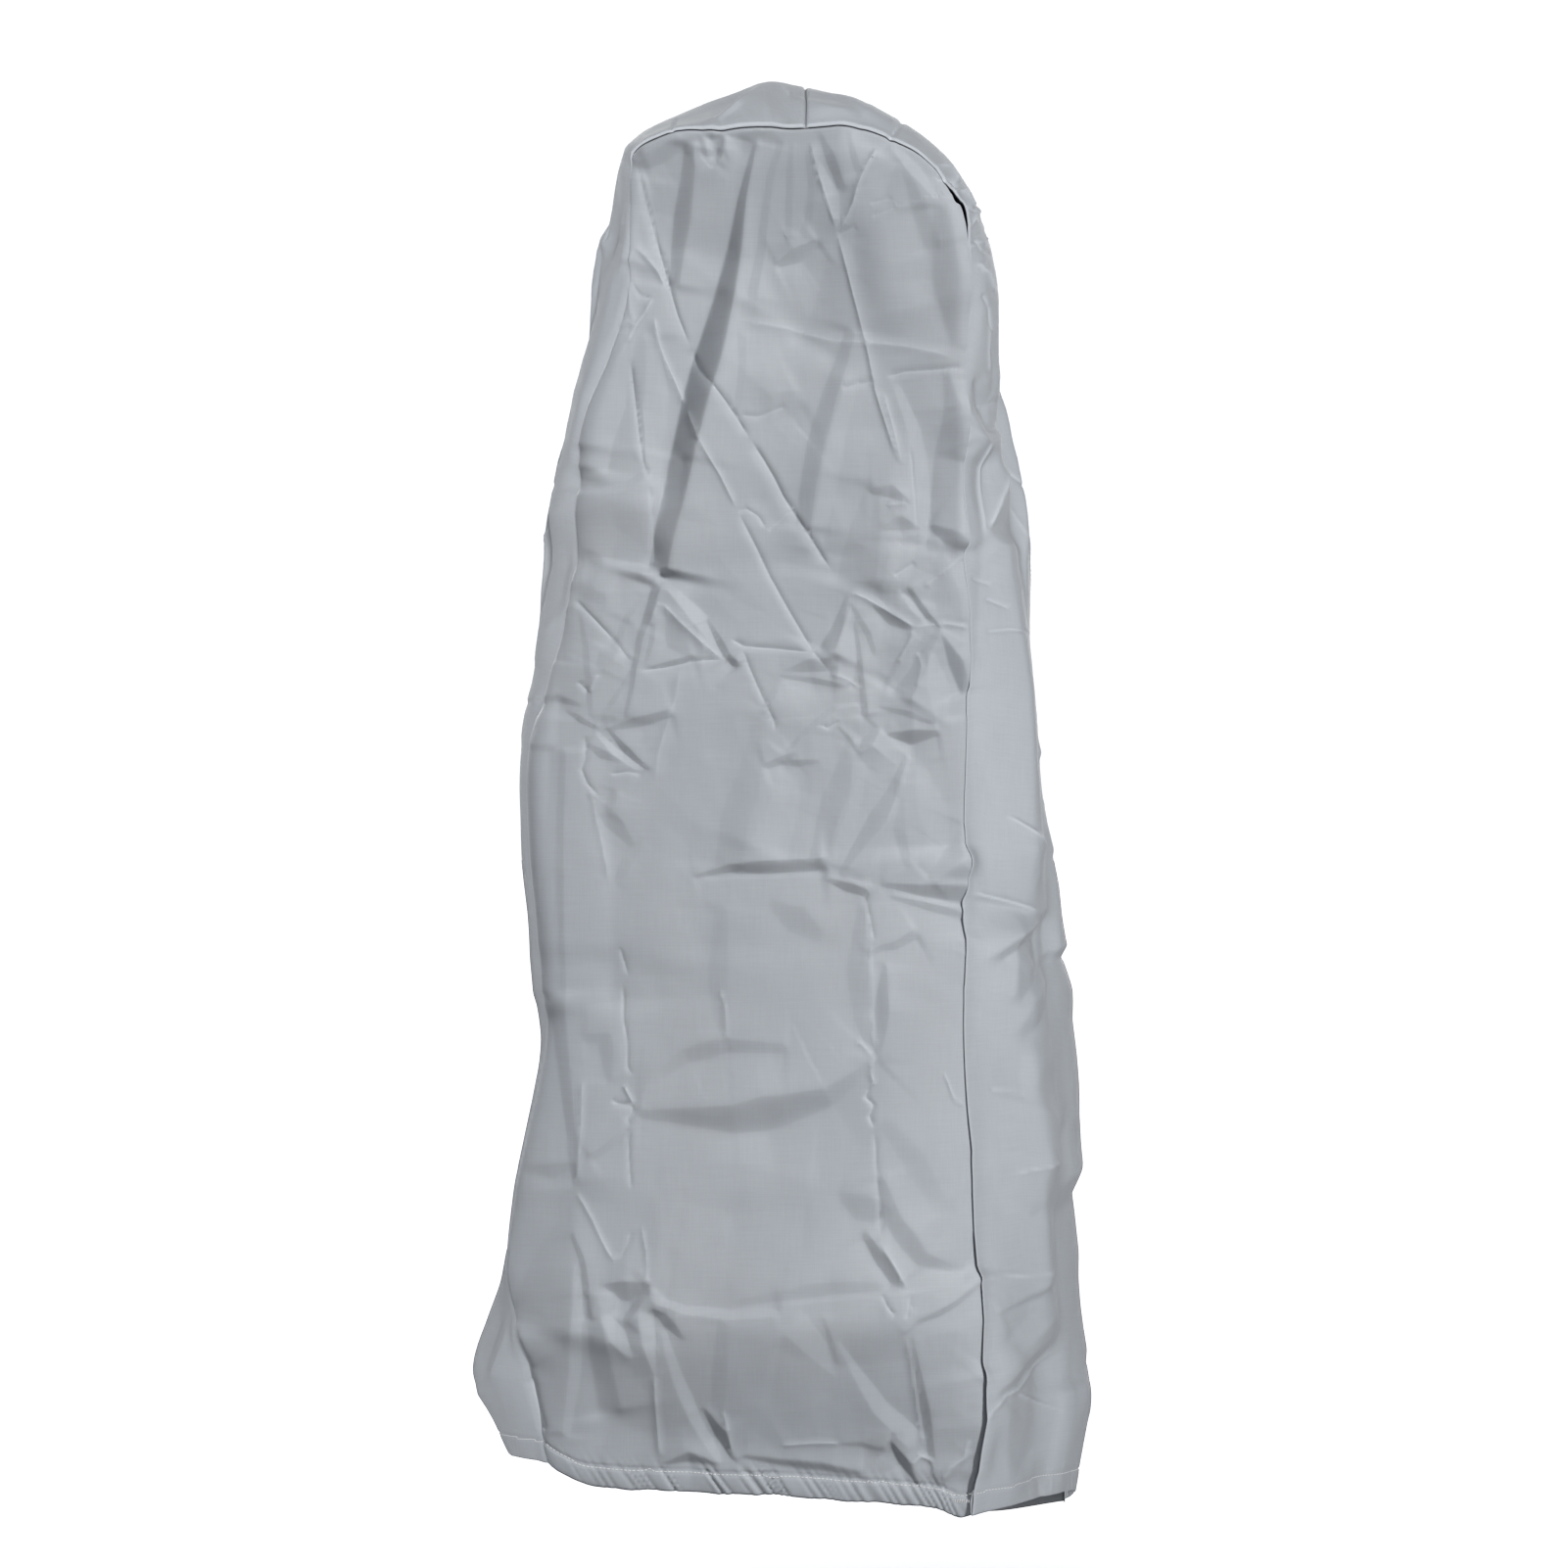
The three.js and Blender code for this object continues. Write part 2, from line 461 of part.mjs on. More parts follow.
// A sheet with the thickness of the cloth inside its surface. mitreAt gives the direction on a seam, and
// null elsewhere. Edges on a seam stand back from it by the standoff.
function sheetGeometry(points, inward, mitreAt, isOnSeam, isHem, flip) {
  const rows = points.length - 1;
  const columns = points[0].length - 1;
  const width = columns + 1;
  const innerStart = (rows + 1) * width;
  const outer = [];
  const inner = [];
  for (let row = 0; row <= rows; row += 1) {
    for (let column = 0; column <= columns; column += 1) {
      const seam = mitreAt(column, row);
      const thickness = isHem(row) ? HEM_THICKNESS : CLOTH_THICKNESS;
      const start = points[row][column].clone();
      const offset = (seam ?? inward[row][column]).clone().multiplyScalar(thickness);
      if (isOnSeam(column, row)) {
        const insideColumn = THREE.MathUtils.clamp(column, 1, columns - 1);
        const atTop = isOnSeam(Math.floor(columns / 2), row);
        const insideRow = atTop ? (row === 0 ? 1 : row - 1) : row;
        const step = points[insideRow][insideColumn].clone().sub(start).normalize();
        start.addScaledVector(step, SEAM_STANDOFF);
      }
      outer.push(start);
      inner.push(start.clone().add(offset));
    }
  }
  const triangles = [];
  const quad = (a, b, c, d) => {
    if (flip) {
      triangles.push(a, c, b, a, d, c);
    } else {
      triangles.push(a, b, c, a, c, d);
    }
  };
  for (let row = 0; row < rows; row += 1) {
    for (let column = 0; column < columns; column += 1) {
      const a = row * width + column;
      const b = a + 1;
      const c = b + width;
      const d = a + width;
      quad(a, b, c, d);
      quad(a + innerStart, d + innerStart, c + innerStart, b + innerStart);
    }
  }
  const rim = [];
  for (let column = 0; column < columns; column += 1) {
    rim.push(column);
  }
  for (let row = 0; row < rows; row += 1) {
    rim.push(row * width + columns);
  }
  for (let column = columns; column > 0; column -= 1) {
    rim.push(rows * width + column);
  }
  for (let row = rows; row > 0; row -= 1) {
    rim.push(row * width);
  }
  rim.forEach((here, k) => {
    const next = rim[(k + 1) % rim.length];
    quad(here, here + innerStart, next + innerStart, next);
  });
  const geometry = new THREE.BufferGeometry();
  geometry.setFromPoints([...outer, ...inner]);
  geometry.setIndex(triangles);
  geometry.computeVertexNormals();
  return geometry;
}

function panelGeometry(points, inward, ratio, mitreOfStation, flip) {
  const rows = points.length - 1;
  const columns = points[0].length - 1;
  const onSeam = (column, row) => column === 0 || column === columns || row === rows;
  const stationAt = (column, row) => {
    if (column === 0) {
      return row * ratio;
    }
    if (column === columns) {
      return STATION_COUNT - 1 - row * ratio;
    }
    return LEFT_CORNER + column * ratio;
  };
  const mitreAt = (column, row) => (onSeam(column, row) ? mitreOfStation(stationAt(column, row)) : null);
  const isHem = (row) => row * ratio <= 1;
  return sheetGeometry(points, inward, mitreAt, onSeam, isHem, flip);
}

// One half of the gusset, from the hem at its first row or its last row to the seam over the top middle.
function gussetGeometry(firstStation, lastStation) {
  const points = gussetCloth.slice(firstStation, lastStation + 1);
  const inward = gussetInward.slice(firstStation, lastStation + 1);
  const isHem = (row) => firstStation + row <= 1 || firstStation + row >= STATION_COUNT - 2;
  const onTopSeam = (row) => firstStation + row === TOP_MIDDLE;
  const onSeam = (column, row) => column === 0 || column === GUSSET_STEPS || onTopSeam(row);
  const mitreAt = (column, row) => {
    if (column === 0) {
      return frontMitre(firstStation + row);
    }
    if (column === GUSSET_STEPS) {
      return backMitre(firstStation + row);
    }
    return null;
  };
  return sheetGeometry(points, inward, mitreAt, onSeam, isHem, true);
}

const clothMaterial = new THREE.MeshStandardMaterial({
  color: CLOTH_COLOUR,
  roughness: CLOTH_ROUGHNESS,
  metalness: 0,
  side: THREE.DoubleSide,
});

function clothPiece(name, geometry) {
  const mesh = new THREE.Mesh(geometry, clothMaterial.clone());
  mesh.name = name;
  return mesh;
}

const cover = new THREE.Group();
cover.name = 'guitar_dust_cover';
cover.add(clothPiece('front_panel', panelGeometry(frontCloth, frontInward, 1, frontMitre, false)));
cover.add(clothPiece('back_panel', panelGeometry(backCloth, backInward, BACK_STEP_RATIO, backMitre, true)));
cover.add(clothPiece('gusset_left', gussetGeometry(0, TOP_MIDDLE)));
cover.add(clothPiece('gusset_right', gussetGeometry(TOP_MIDDLE, STATION_COUNT - 1)));

export default cover;
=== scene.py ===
"""The looks of a dust cover of thin woven cloth, as it hangs: four sheets with their folds, creases, seams,
hem casing and stitching. Sizes are in millimetres until a mesh is made. "down" is the distance below the top
of the cover, and the front faces -Y."""

import math

import bpy
import numpy as np
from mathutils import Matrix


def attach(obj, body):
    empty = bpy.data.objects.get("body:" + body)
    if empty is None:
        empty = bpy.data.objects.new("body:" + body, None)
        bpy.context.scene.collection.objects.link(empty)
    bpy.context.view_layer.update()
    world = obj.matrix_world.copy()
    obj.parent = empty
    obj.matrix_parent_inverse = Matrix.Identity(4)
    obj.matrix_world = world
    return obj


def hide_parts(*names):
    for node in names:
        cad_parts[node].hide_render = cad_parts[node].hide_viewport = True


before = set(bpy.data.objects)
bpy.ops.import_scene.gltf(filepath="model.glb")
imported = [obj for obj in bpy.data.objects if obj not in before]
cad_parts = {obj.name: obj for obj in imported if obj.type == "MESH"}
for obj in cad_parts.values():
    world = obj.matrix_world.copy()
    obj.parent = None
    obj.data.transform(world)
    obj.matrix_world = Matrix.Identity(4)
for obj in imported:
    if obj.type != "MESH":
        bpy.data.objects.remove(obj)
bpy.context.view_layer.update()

# Cloth
MM = 0.001
TINY = 1e-9
CAD_CLOTH = 1.6
HEM_HEIGHT = 17.5
SEAM_ALLOWANCE_STEPS = (2.5, 5.0, 8.0)
ALLOWANCE_GAP = 0.12
TOP_ALLOWANCE_GAP = 0.7
FORWARD = np.array([0.0, -1.0, 0.0])
# Keeps a move in the plane that is seen from the front
SEEN_PLANE = np.array([1.0, 0.0, 1.0])

# Where the cover is seen from: level, at mid-height
VIEW_X = 9.75
VIEW_DOWN = 558.5
VIEW_DISTANCE = 3200.0
VIEW_PLANE_Y = -78.0
FRAME_HEIGHT = 1248.8
SENSOR = 36.0

# Sections through the gusset, from the left hem up, over the top and down to the right hem.
# Columns: front seam x and down, half the depth between the seams, the gusset's outermost line x, down and y,
# back seam x and down
LEFT_SECTIONS = [
    (-174, 1087, 72, -210, 1092, 0, -194, 1096),
    (-182, 1045, 76, -221, 1057, 0, -198, 1045),
    (-188, 1010, 80, -234, 1026, 0, -206, 1010),
    (-203, 976, 82, -226, 989, 0, -210, 976),
    (-209, 938, 82, -216, 948, 0, -208, 938),
    (-198, 874, 82, -203, 882, 0, -196, 874),
    (-174, 742, 82, -180, 747, 0, -178, 742),
    (-176, 677, 82, -184, 681, 0, -184, 677),
    (-183, 554, 78, -191, 558, 0, -188, 554),
    (-171, 482, 76, -184, 484, 0, -176, 482),
    (-157, 414, 74, -177, 412, 0, -164, 414),
    (-143, 291, 70, -165, 285, 0, -150, 291),
    (-124, 228, 69, -155, 220, 0, -134, 228),
    (-112, 168, 67, -143, 158, 0, -122, 168),
    (-110, 111, 65, -128, 102, 0, -114, 111),
]
TOP_SECTIONS = [
    (-109, 69, 62, -115, 54, 0, -109, 69),
    (-88, 56, 62, -98, 38, 0, -88, 56),
    (-67, 50, 62, -76, 27, 0, -67, 50),
    (-46, 51, 62, -53, 17, 0, -46, 51),
    (-21, 48, 62, -28, 8, 0, -21, 48),
    (0, 47, 62, 0, 0, 0, 0, 47),
    (18, 48, 62, 18, 3, 0, 18, 48),
    (48, 48, 62, 48, 10, 0, 48, 48),
    (71, 50, 62, 72, 20, 0, 71, 50),
    (91, 56, 62, 92, 29, 0, 91, 56),
    (113, 66, 62, 114, 43, 0, 113, 66),
    (130, 85, 62, 136, 64, 0, 131, 85),
    (141, 108, 62, 154, 93, 0, 144, 108),
]
RIGHT_SECTIONS = [
    (147, 138, 64, 167, 129, 2, 153, 138),
    (150, 184, 66, 180, 175, 4, 161, 184),
    (150, 252, 68, 187, 241, 6, 168, 252),
    (150, 314, 70, 191, 308, 8, 173, 314),
    (150, 375, 73, 200, 370, 10, 180, 375),
    (156, 436, 75, 207, 433, 12, 186, 436),
    (155, 540, 78, 218, 539, 16, 196, 540),
    (155, 662, 80, 232, 665, 20, 212, 662),
    (155, 741, 82, 240, 747, 24, 222, 741),
    (157, 798, 82, 243, 806, 26, 229, 798),
    (161, 862, 82, 241, 873, 28, 230, 862),
    (162, 939, 82, 240, 952, 30, 232, 939),
    (164, 999, 82, 242, 1015, 30, 234, 999),
    (166, 1049, 80, 245, 1066, 30, 236, 1049),
    (159, 1128, 78, 243, 1127, 30, 237, 1142),
]

# The hems between the seams, from left to right: x, down
FRONT_HEM = [
    (-174, 1087), (-165, 1094), (-138, 1106), (-76, 1111), (9, 1115), (60, 1119), (127, 1124), (147, 1131),
    (159, 1128),
]
BACK_HEM = [(-194, 1096), (-120, 1108), (-20, 1122), (90, 1136), (175, 1151), (237, 1142)]

# How far the middle of each panel stands out of the plane between its seams: down, out
FRONT_CROWN = [(50, 0), (150, 4), (300, 8), (420, 14), (520, 20), (700, 24), (930, 27), (975, 26), (1130, 0)]
BACK_CROWN = [(50, 0), (250, 5), (550, 12), (900, 14), (1150, 4)]
CROWN_SQUARENESS = 0.6

RIDGE_ROUNDNESS_AT_TOP = 0.4
RIDGE_ROUNDNESS_AT_SIDES = 0.95
TENT_DEPTH = 240.0

# Folds as seen from the front: strips of cloth that lean towards the upper right of their line, or away
# from it. Columns: lean as a slope, width over which the edges are rounded, half the strip's width at the
# start, the middle and the end of its line, and the line as points (x, down) from the top down, or from left
# to right
FOLDS = [
    # Below the top seam
    (-0.14, 6, (30, 42, 30), [(-96, 105), (-6, 109), (55, 102)]),
    (-0.11, 6, (38, 50, 38), [(25, 63), (34, 124), (57, 200)]),
    (-0.8, 1, (1.5, 2.5, 1), [(-50, 56), (-45, 57), (-41, 56)]),
    (-0.88, 1.5, (1, 11, 8), [(-13, 62), (-23, 102), (-29, 140), (-37, 178), (-47, 216),
        (-58, 254), (-67, 292), (-75, 330), (-84, 368), (-88, 389)]),
    (-0.45, 1.5, (4, 7, 4), [(-64, 65), (-65, 86), (-69, 113), (-73, 140), (-76, 168)]),
    (-0.25, 1, (3, 6, 4), [(-101, 79), (-88, 71), (-71, 63)]),
    (-0.5, 1, (1.5, 2.5, 1.5), [(-54, 60), (-52, 70), (-48, 76)]),
    (0.35, 1, (1.5, 4, 2.5), [(-52, 73), (-46, 77), (-41, 73)]),
    (0.5, 1, (1.5, 2.5, 1.5), [(-42, 74), (-39, 68), (-38, 60)]),
    (0.18, 1, (6, 6, 1.5), [(-30, 60), (-29, 67), (-30, 77)]),
    (-0.18, 1, (2.5, 3, 4), [(7, 62), (-1, 86), (-5, 113), (-8, 140), (-15, 178)]),
    (-0.16, 1, (1.5, 2.5, 2.5), [(15, 63), (14, 94), (13, 132)]),
    (-0.16, 1, (1.5, 2.5, 2.5), [(28, 71), (31, 94), (30, 113), (25, 129)]),
    (-0.42, 1, (2.5, 6, 2.5), [(6, 153), (19, 147), (34, 137)]),
    (0.14, 3, (3, 14, 20), [(40, 149), (23, 174), (8, 197)]),
    (-0.28, 1, (1.5, 4, 3), [(38, 57), (46, 75), (54, 95)]),
    (-0.2, 1, (1.5, 2.5, 2.5), [(60, 57), (63, 71), (67, 83)]),
    (0.16, 1, (1.5, 7, 1.5), [(38, 79), (46, 102), (52, 126)]),
    (0.14, 2, (8, 9, 3), [(89, 75), (78, 102), (63, 132)]),
    # The upper right, beside the seam
    (0.25, 1, (2.5, 5, 1.5), [(95, 65), (104, 75), (116, 89), (126, 103)]),
    (-0.2, 2.5, (2.5, 6, 6), [(104, 85), (114, 111), (124, 140)]),
    (-0.3, 3, (5, 11, 3), [(130, 113), (133, 140), (136, 178), (142, 217)]),
    # Between the long creases
    (-0.28, 1.5, (4, 7, 6), [(61, 208), (54, 231), (46, 254), (35, 292), (28, 330), (25, 356)]),
    (0.12, 1.5, (5, 7, 5), [(63, 246), (52, 284), (44, 330), (34, 375)]),
    (-0.12, 1, (3, 3, 2.5), [(-23, 212), (-23, 242), (-27, 269)]),
    (-0.14, 2, (3, 11, 8), [(2, 273), (9, 265), (19, 260)]),
    (0.17, 1, (3, 7, 7), [(98, 250), (111, 284), (117, 322), (118, 364)]),
    (-0.28, 1.5, (2.5, 11, 12), [(136, 242), (140, 269), (138, 299), (136, 337), (133, 372)]),
    (-0.38, 1, (2.5, 5, 1.5), [(79, 331), (92, 331), (105, 339)]),
    (-0.3, 1, (1.5, 6, 1.5), [(88, 360), (99, 356), (113, 359)]),
    (-0.18, 2, (6, 12, 15), [(79, 330), (73, 360), (67, 395)]),
    (0.16, 1.5, (3, 11, 9), [(110, 366), (101, 387), (95, 406)]),
    (-0.45, 1, (2.5, 6, 1.5), [(126, 359), (137, 366), (151, 376)]),
    (-0.12, 2, (5, 11, 9), [(131, 395), (137, 414), (140, 429)]),
    # The left shoulder
    (-0.28, 1, (1.5, 6, 10), [(-115, 111), (-120, 128), (-125, 146)]),
    (0.2, 1, (2.5, 5, 3), [(-101, 82), (-96, 113), (-90, 146)]),
    (0.34, 1, (1.5, 11, 7), [(-108, 212), (-120, 246), (-130, 284), (-134, 312)]),
    (0.15, 1, (5, 10, 3), [(-92, 214), (-90, 254), (-91, 284), (-96, 318)]),
    (0.35, 1, (2.5, 3, 3), [(-150, 331), (-131, 332), (-112, 327), (-99, 318)]),
    (-0.17, 4, (20, 26, 20), [(-152, 368), (-124, 364), (-94, 360)]),
    (-0.15, 2, (5, 6, 4), [(-153, 406), (-143, 410), (-131, 415)]),
    (-0.2, 2, (2.5, 5, 4), [(-149, 382), (-143, 380), (-134, 385)]),
    # The crumpled zone, left
    (-0.6, 1, (4, 2.5, 1), [(-90, 406), (-96, 427), (-102, 445), (-106, 467), (-109, 486), (-113, 505)]),
    (-0.45, 1, (1, 2, 1), [(-91, 430), (-93, 448), (-98, 465)]),
    (-0.3, 1, (1, 2.5, 2.5), [(-101, 415), (-112, 428), (-118, 442), (-122, 452)]),
    (0.32, 1, (2.5, 6, 4), [(-81, 404), (-65, 420), (-50, 437), (-36, 458)]),
    (-0.14, 1, (3, 14, 6), [(-80, 427), (-71, 442), (-58, 458)]),
    (-0.75, 1, (1, 3, 2.5), [(-49, 432), (-42, 445), (-35, 458), (-28, 465)]),
    (-0.35, 1, (1, 3, 3), [(-91, 468), (-76, 465), (-62, 461)]),
    (0.3, 1, (1.5, 4, 3), [(-158, 423), (-166, 442), (-169, 461)]),
    (-0.25, 1, (1, 2.5, 1.5), [(-149, 425), (-144, 452), (-142, 474), (-140, 505)]),
    (-0.2, 1, (5, 7, 5), [(-107, 438), (-111, 447), (-115, 456)]),
    (-0.22, 1, (5, 7, 4), [(-123, 452), (-128, 459), (-132, 467)]),
    (-0.38, 1, (1, 2, 1.5), [(-108, 469), (-116, 484), (-126, 499), (-137, 511)]),
    (-0.3, 1, (1.5, 3, 1.5), [(-179, 495), (-166, 492), (-150, 497)]),
    (-0.4, 1, (1, 2.5, 1.5), [(-157, 503), (-147, 509), (-138, 514)]),
    (-0.38, 1, (1, 4, 3), [(-126, 516), (-105, 511), (-80, 504)]),
    (-0.5, 1, (1, 3, 1.5), [(-126, 517), (-117, 528), (-106, 539), (-97, 546)]),
    (0.34, 1, (1.5, 3, 2.5), [(-134, 520), (-121, 534), (-105, 545)]),
    (-0.3, 1, (1.5, 4, 1.5), [(-141, 529), (-132, 535), (-120, 540)]),
    (-0.22, 1, (2.5, 4, 2.5), [(-122, 567), (-124, 572), (-128, 578)]),
    (-0.15, 1, (2.5, 7, 2.5), [(-139, 570), (-122, 589), (-109, 605)]),
    (-0.12, 1, (1.5, 5, 2.5), [(-101, 605), (-112, 617), (-120, 634)]),
    # The crumpled zone, right
    (-0.55, 1, (1, 4, 6), [(59, 412), (53, 433), (44, 453)]),
    (-0.42, 1, (1, 5, 5), [(12, 470), (29, 466), (45, 465)]),
    (-0.45, 1, (1, 2.5, 1), [(9, 474), (32, 477), (57, 482)]),
    (0.18, 1, (1.5, 7, 6), [(62, 425), (60, 452), (58, 480)]),
    (-0.45, 1, (1, 2, 2.5), [(65, 433), (68, 452), (70, 474), (73, 503)]),
    (-0.3, 1, (1, 2.5, 1.5), [(63, 419), (69, 431), (76, 442), (80, 455)]),
    (-0.36, 1, (1.5, 5, 2.5), [(81, 420), (93, 429), (108, 437)]),
    (-0.12, 1, (3, 11, 6), [(85, 410), (102, 418), (112, 430)]),
    (-0.55, 1, (1.5, 2.5, 1.5), [(108, 408), (116, 420), (122, 428), (129, 434)]),
    (0.3, 1, (1.5, 3, 1.5), [(101, 409), (110, 420), (120, 432)]),
    (0.26, 1, (1.5, 4, 2.5), [(117, 441), (107, 458), (95, 476)]),
    (-0.34, 1, (1, 2.5, 1.5), [(109, 444), (101, 460), (89, 482)]),
    (-0.34, 1, (1.5, 5, 7), [(130, 439), (120, 458), (112, 474), (103, 488)]),
    (-0.48, 1, (1, 5, 4), [(134, 445), (144, 465), (152, 484)]),
    (0.18, 1, (3, 9, 6), [(125, 458), (130, 482), (133, 505)]),
    (-0.42, 1, (1.5, 2.5, 1.5), [(66, 496), (50, 498), (36, 509), (22, 522), (12, 534)]),
    (-0.38, 1, (2.5, 3, 1.5), [(-3, 544), (6, 541), (15, 535)]),
    (-0.32, 1, (1.5, 2.5, 1), [(9, 542), (22, 542), (35, 541)]),
    (-0.42, 1, (2.5, 5, 1), [(82, 517), (76, 524), (68, 534)]),
    (-0.35, 1, (1, 1.5, 1), [(53, 515), (60, 522), (68, 534)]),
    (-0.32, 1, (1, 2.5, 1), [(87, 499), (104, 503), (124, 511)]),
    (-0.5, 1, (1.5, 6, 2.5), [(93, 520), (110, 522), (128, 519)]),
    (-0.22, 1, (1.5, 3, 2.5), [(6, 479), (0, 490), (-6, 499)]),
    # From the crumpled zone to the waist crease
    (-0.34, 1, (1, 7, 1.5), [(105, 538), (94, 566), (82, 586), (69, 605), (54, 627)]),
    (0.26, 1, (1, 2.5, 1.5), [(109, 539), (101, 558), (96, 581), (89, 598), (79, 621), (73, 631)]),
    (-0.18, 1.5, (3, 11, 8), [(61, 526), (55, 554), (46, 585), (38, 616)]),
    (0.14, 1, (1.5, 7, 2.5), [(73, 547), (66, 570), (55, 596), (44, 624)]),
    (-0.1, 2.5, (3, 11, 11), [(-10, 509), (-17, 551), (-29, 589), (-33, 619)]),
    (0.1, 2.5, (3, 12, 15), [(25, 543), (11, 573), (-2, 608)]),
    (0.12, 2.5, (4, 12, 8), [(117, 547), (126, 577), (133, 608)]),
    (-0.28, 1.5, (2.5, 7, 4), [(151, 592), (143, 613), (125, 631)]),
    (-0.16, 1, (2.5, 5, 3), [(100, 558), (99, 592), (106, 621)]),
    # At the waist crease
    (-0.1, 6, (23, 38, 23), [(104, 375), (124, 497), (127, 604)]),
    (-0.55, 1, (1, 5, 5), [(-58, 630), (-32, 624), (2, 623), (38, 621)]),
    (0.3, 1, (1, 1.5, 1), [(-50, 632), (-13, 630), (41, 629)]),
    (-0.45, 1, (1, 4, 3), [(44, 633), (58, 638), (73, 643)]),
    (0.3, 1, (1, 1.5, 1), [(42, 629), (57, 633), (75, 637)]),
    (-0.42, 1, (1.5, 5, 7), [(88, 637), (116, 641), (152, 644)]),
    (0.07, 6, (38, 53, 38), [(-101, 398), (-88, 528), (-91, 680)]),
    (0.34, 2, (5, 11, 9), [(-73, 307), (-82, 349), (-91, 395)]),
    (0.06, 6, (30, 46, 38), [(-32, 345), (-27, 406), (-30, 474)]),
    (0.15, 3.5, (15, 26, 20), [(-146, 512), (-149, 573), (-149, 634), (-143, 726)]),
    (0.05, 6, (23, 38, 30), [(-112, 710), (-112, 786), (-105, 863)]),
    (0.3, 2.5, (4, 8, 6), [(-152, 322), (-164, 375), (-172, 482), (-173, 634), (-169, 718)]),
    (-0.28, 3, (6, 11, 9), [(-120, 86), (-132, 147), (-144, 223), (-155, 292)]),
    (-0.06, 6, (30, 38, 30), [(104, 86), (112, 178), (116, 277)]),
    (-0.08, 3, (12, 18, 15), [(9, 986), (55, 993), (101, 990)]),
    (0.34, 1, (1, 1.5, 1.5), [(97, 643), (124, 649), (154, 656)]),
    (-0.32, 1, (1, 3, 4), [(95, 647), (124, 654), (152, 660)]),
    (-0.14, 2.5, (4, 11, 5), [(2, 653), (21, 665), (36, 676)]),
    # Below the waist
    (-0.22, 1, (6, 7, 3), [(-165, 535), (-167, 604), (-167, 672),
        (-165, 741), (-160, 786), (-155, 832), (-152, 866)]),
    (-0.14, 2, (3, 8, 2.5), [(70, 653), (66, 703), (69, 741), (76, 762)]),
    (-0.34, 1, (1.5, 6, 2.5), [(88, 701), (86, 726), (85, 750), (82, 768)]),
    (-0.3, 1, (1.5, 3, 4), [(76, 691), (85, 686), (97, 684), (111, 676)]),
    (-0.1, 2, (5, 8, 5), [(-39, 657), (-42, 710), (-38, 748)]),
    (-0.3, 2.5, (1.5, 7, 3), [(-101, 804), (-86, 784), (-67, 770), (-36, 762), (9, 764)]),
    (-0.38, 3, (3, 14, 2.5), [(-101, 815), (-67, 817), (-29, 819),
        (9, 812), (44, 802), (66, 786), (79, 773)]),
    (-0.32, 1, (2.5, 3, 1.5), [(-138, 848), (-126, 840), (-117, 831), (-111, 821)]),
    (-0.08, 4, (6, 20, 11), [(-82, 874), (-36, 872), (25, 878)]),
    (-0.2, 3, (4, 11, 8), [(55, 879), (70, 887), (85, 893)]),
    (-0.3, 2, (3, 8, 1.5), [(85, 866), (95, 899), (116, 927), (150, 939)]),
    (-0.48, 1, (2.5, 5, 4), [(73, 910), (83, 925), (96, 945)]),
    (-0.36, 1, (1, 3, 6), [(161, 910), (159, 925), (156, 939)]),
    (-0.1, 3, (5, 9, 6), [(89, 824), (108, 847), (131, 885)]),
    (-0.22, 2.5, (3, 6, 3), [(-143, 756), (-129, 756), (-126, 786)]),
    # The left flare
    (-0.22, 2.5, (2.5, 6, 3), [(-188, 858), (-172, 859), (-155, 855)]),
    (-0.18, 2.5, (1.5, 17, 26), [(-154, 884), (-162, 910), (-172, 942), (-179, 977)]),
    (-0.42, 1, (1.5, 3, 2.5), [(-154, 910), (-147, 927), (-144, 948), (-141, 971)]),
    (0.2, 1, (3, 5, 3), [(-150, 935), (-150, 969), (-153, 1015), (-159, 1062)]),
    (-0.2, 2, (4, 8, 9), [(-138, 958), (-134, 999), (-126, 1045)]),
    (-0.55, 1, (1, 3, 1.5), [(-204, 971), (-197, 990), (-188, 1009)]),
    (-0.3, 1, (1.5, 7, 4), [(-213, 969), (-219, 992), (-222, 1015)]),
    # Where the cloth turns in towards the hem
    (-0.38, 1, (1.5, 9, 4), [(-128, 948), (-112, 952), (-99, 949)]),
    (0.45, 1, (2.5, 3, 3), [(-112, 973), (-103, 961), (-95, 951)]),
    (0.34, 1, (4, 7, 2.5), [(-128, 973), (-119, 986), (-110, 1000)]),
    (0.4, 1, (6, 5, 1), [(-97, 972), (-95, 989), (-91, 1013)]),
    (-0.4, 1.5, (1.5, 5, 1.5), [(-90, 967), (-80, 976), (-70, 987)]),
    (-0.12, 6, (38, 50, 50), [(-112, 1019), (-91, 1025), (-6, 1030), (85, 1033), (150, 1030)]),
    (0.3, 1, (2.5, 4, 3), [(-91, 958), (-67, 966), (-32, 970), (2, 968)]),
    (-0.15, 2, (1.5, 6, 5), [(-27, 961), (9, 955), (47, 950), (82, 950)]),
    (0.18, 1, (1, 2.5, 1.5), [(-23, 966), (9, 961), (47, 957), (108, 952), (162, 943)]),
    (-0.1, 1, (4, 6, 5), [(-38, 978), (-40, 1011), (-42, 1044)]),
    (-0.42, 1, (1.5, 5, 1.5), [(-52, 1047), (-40, 1066), (-29, 1086)]),
    (0.2, 1, (2.5, 5, 3), [(-84, 983), (-73, 1019), (-58, 1057), (-41, 1086)]),
    (0.1, 1, (11, 9, 1.5), [(19, 978), (34, 995), (48, 1016)]),
    (-0.3, 1, (1, 1.5, 1), [(40, 974), (46, 992), (50, 1006)]),
    (0.2, 1, (1, 6, 8), [(52, 992), (66, 1015), (85, 1044), (110, 1068)]),
    (-0.4, 1, (1, 4, 1.5), [(108, 990), (114, 1019), (120, 1049), (125, 1082), (130, 1103)]),
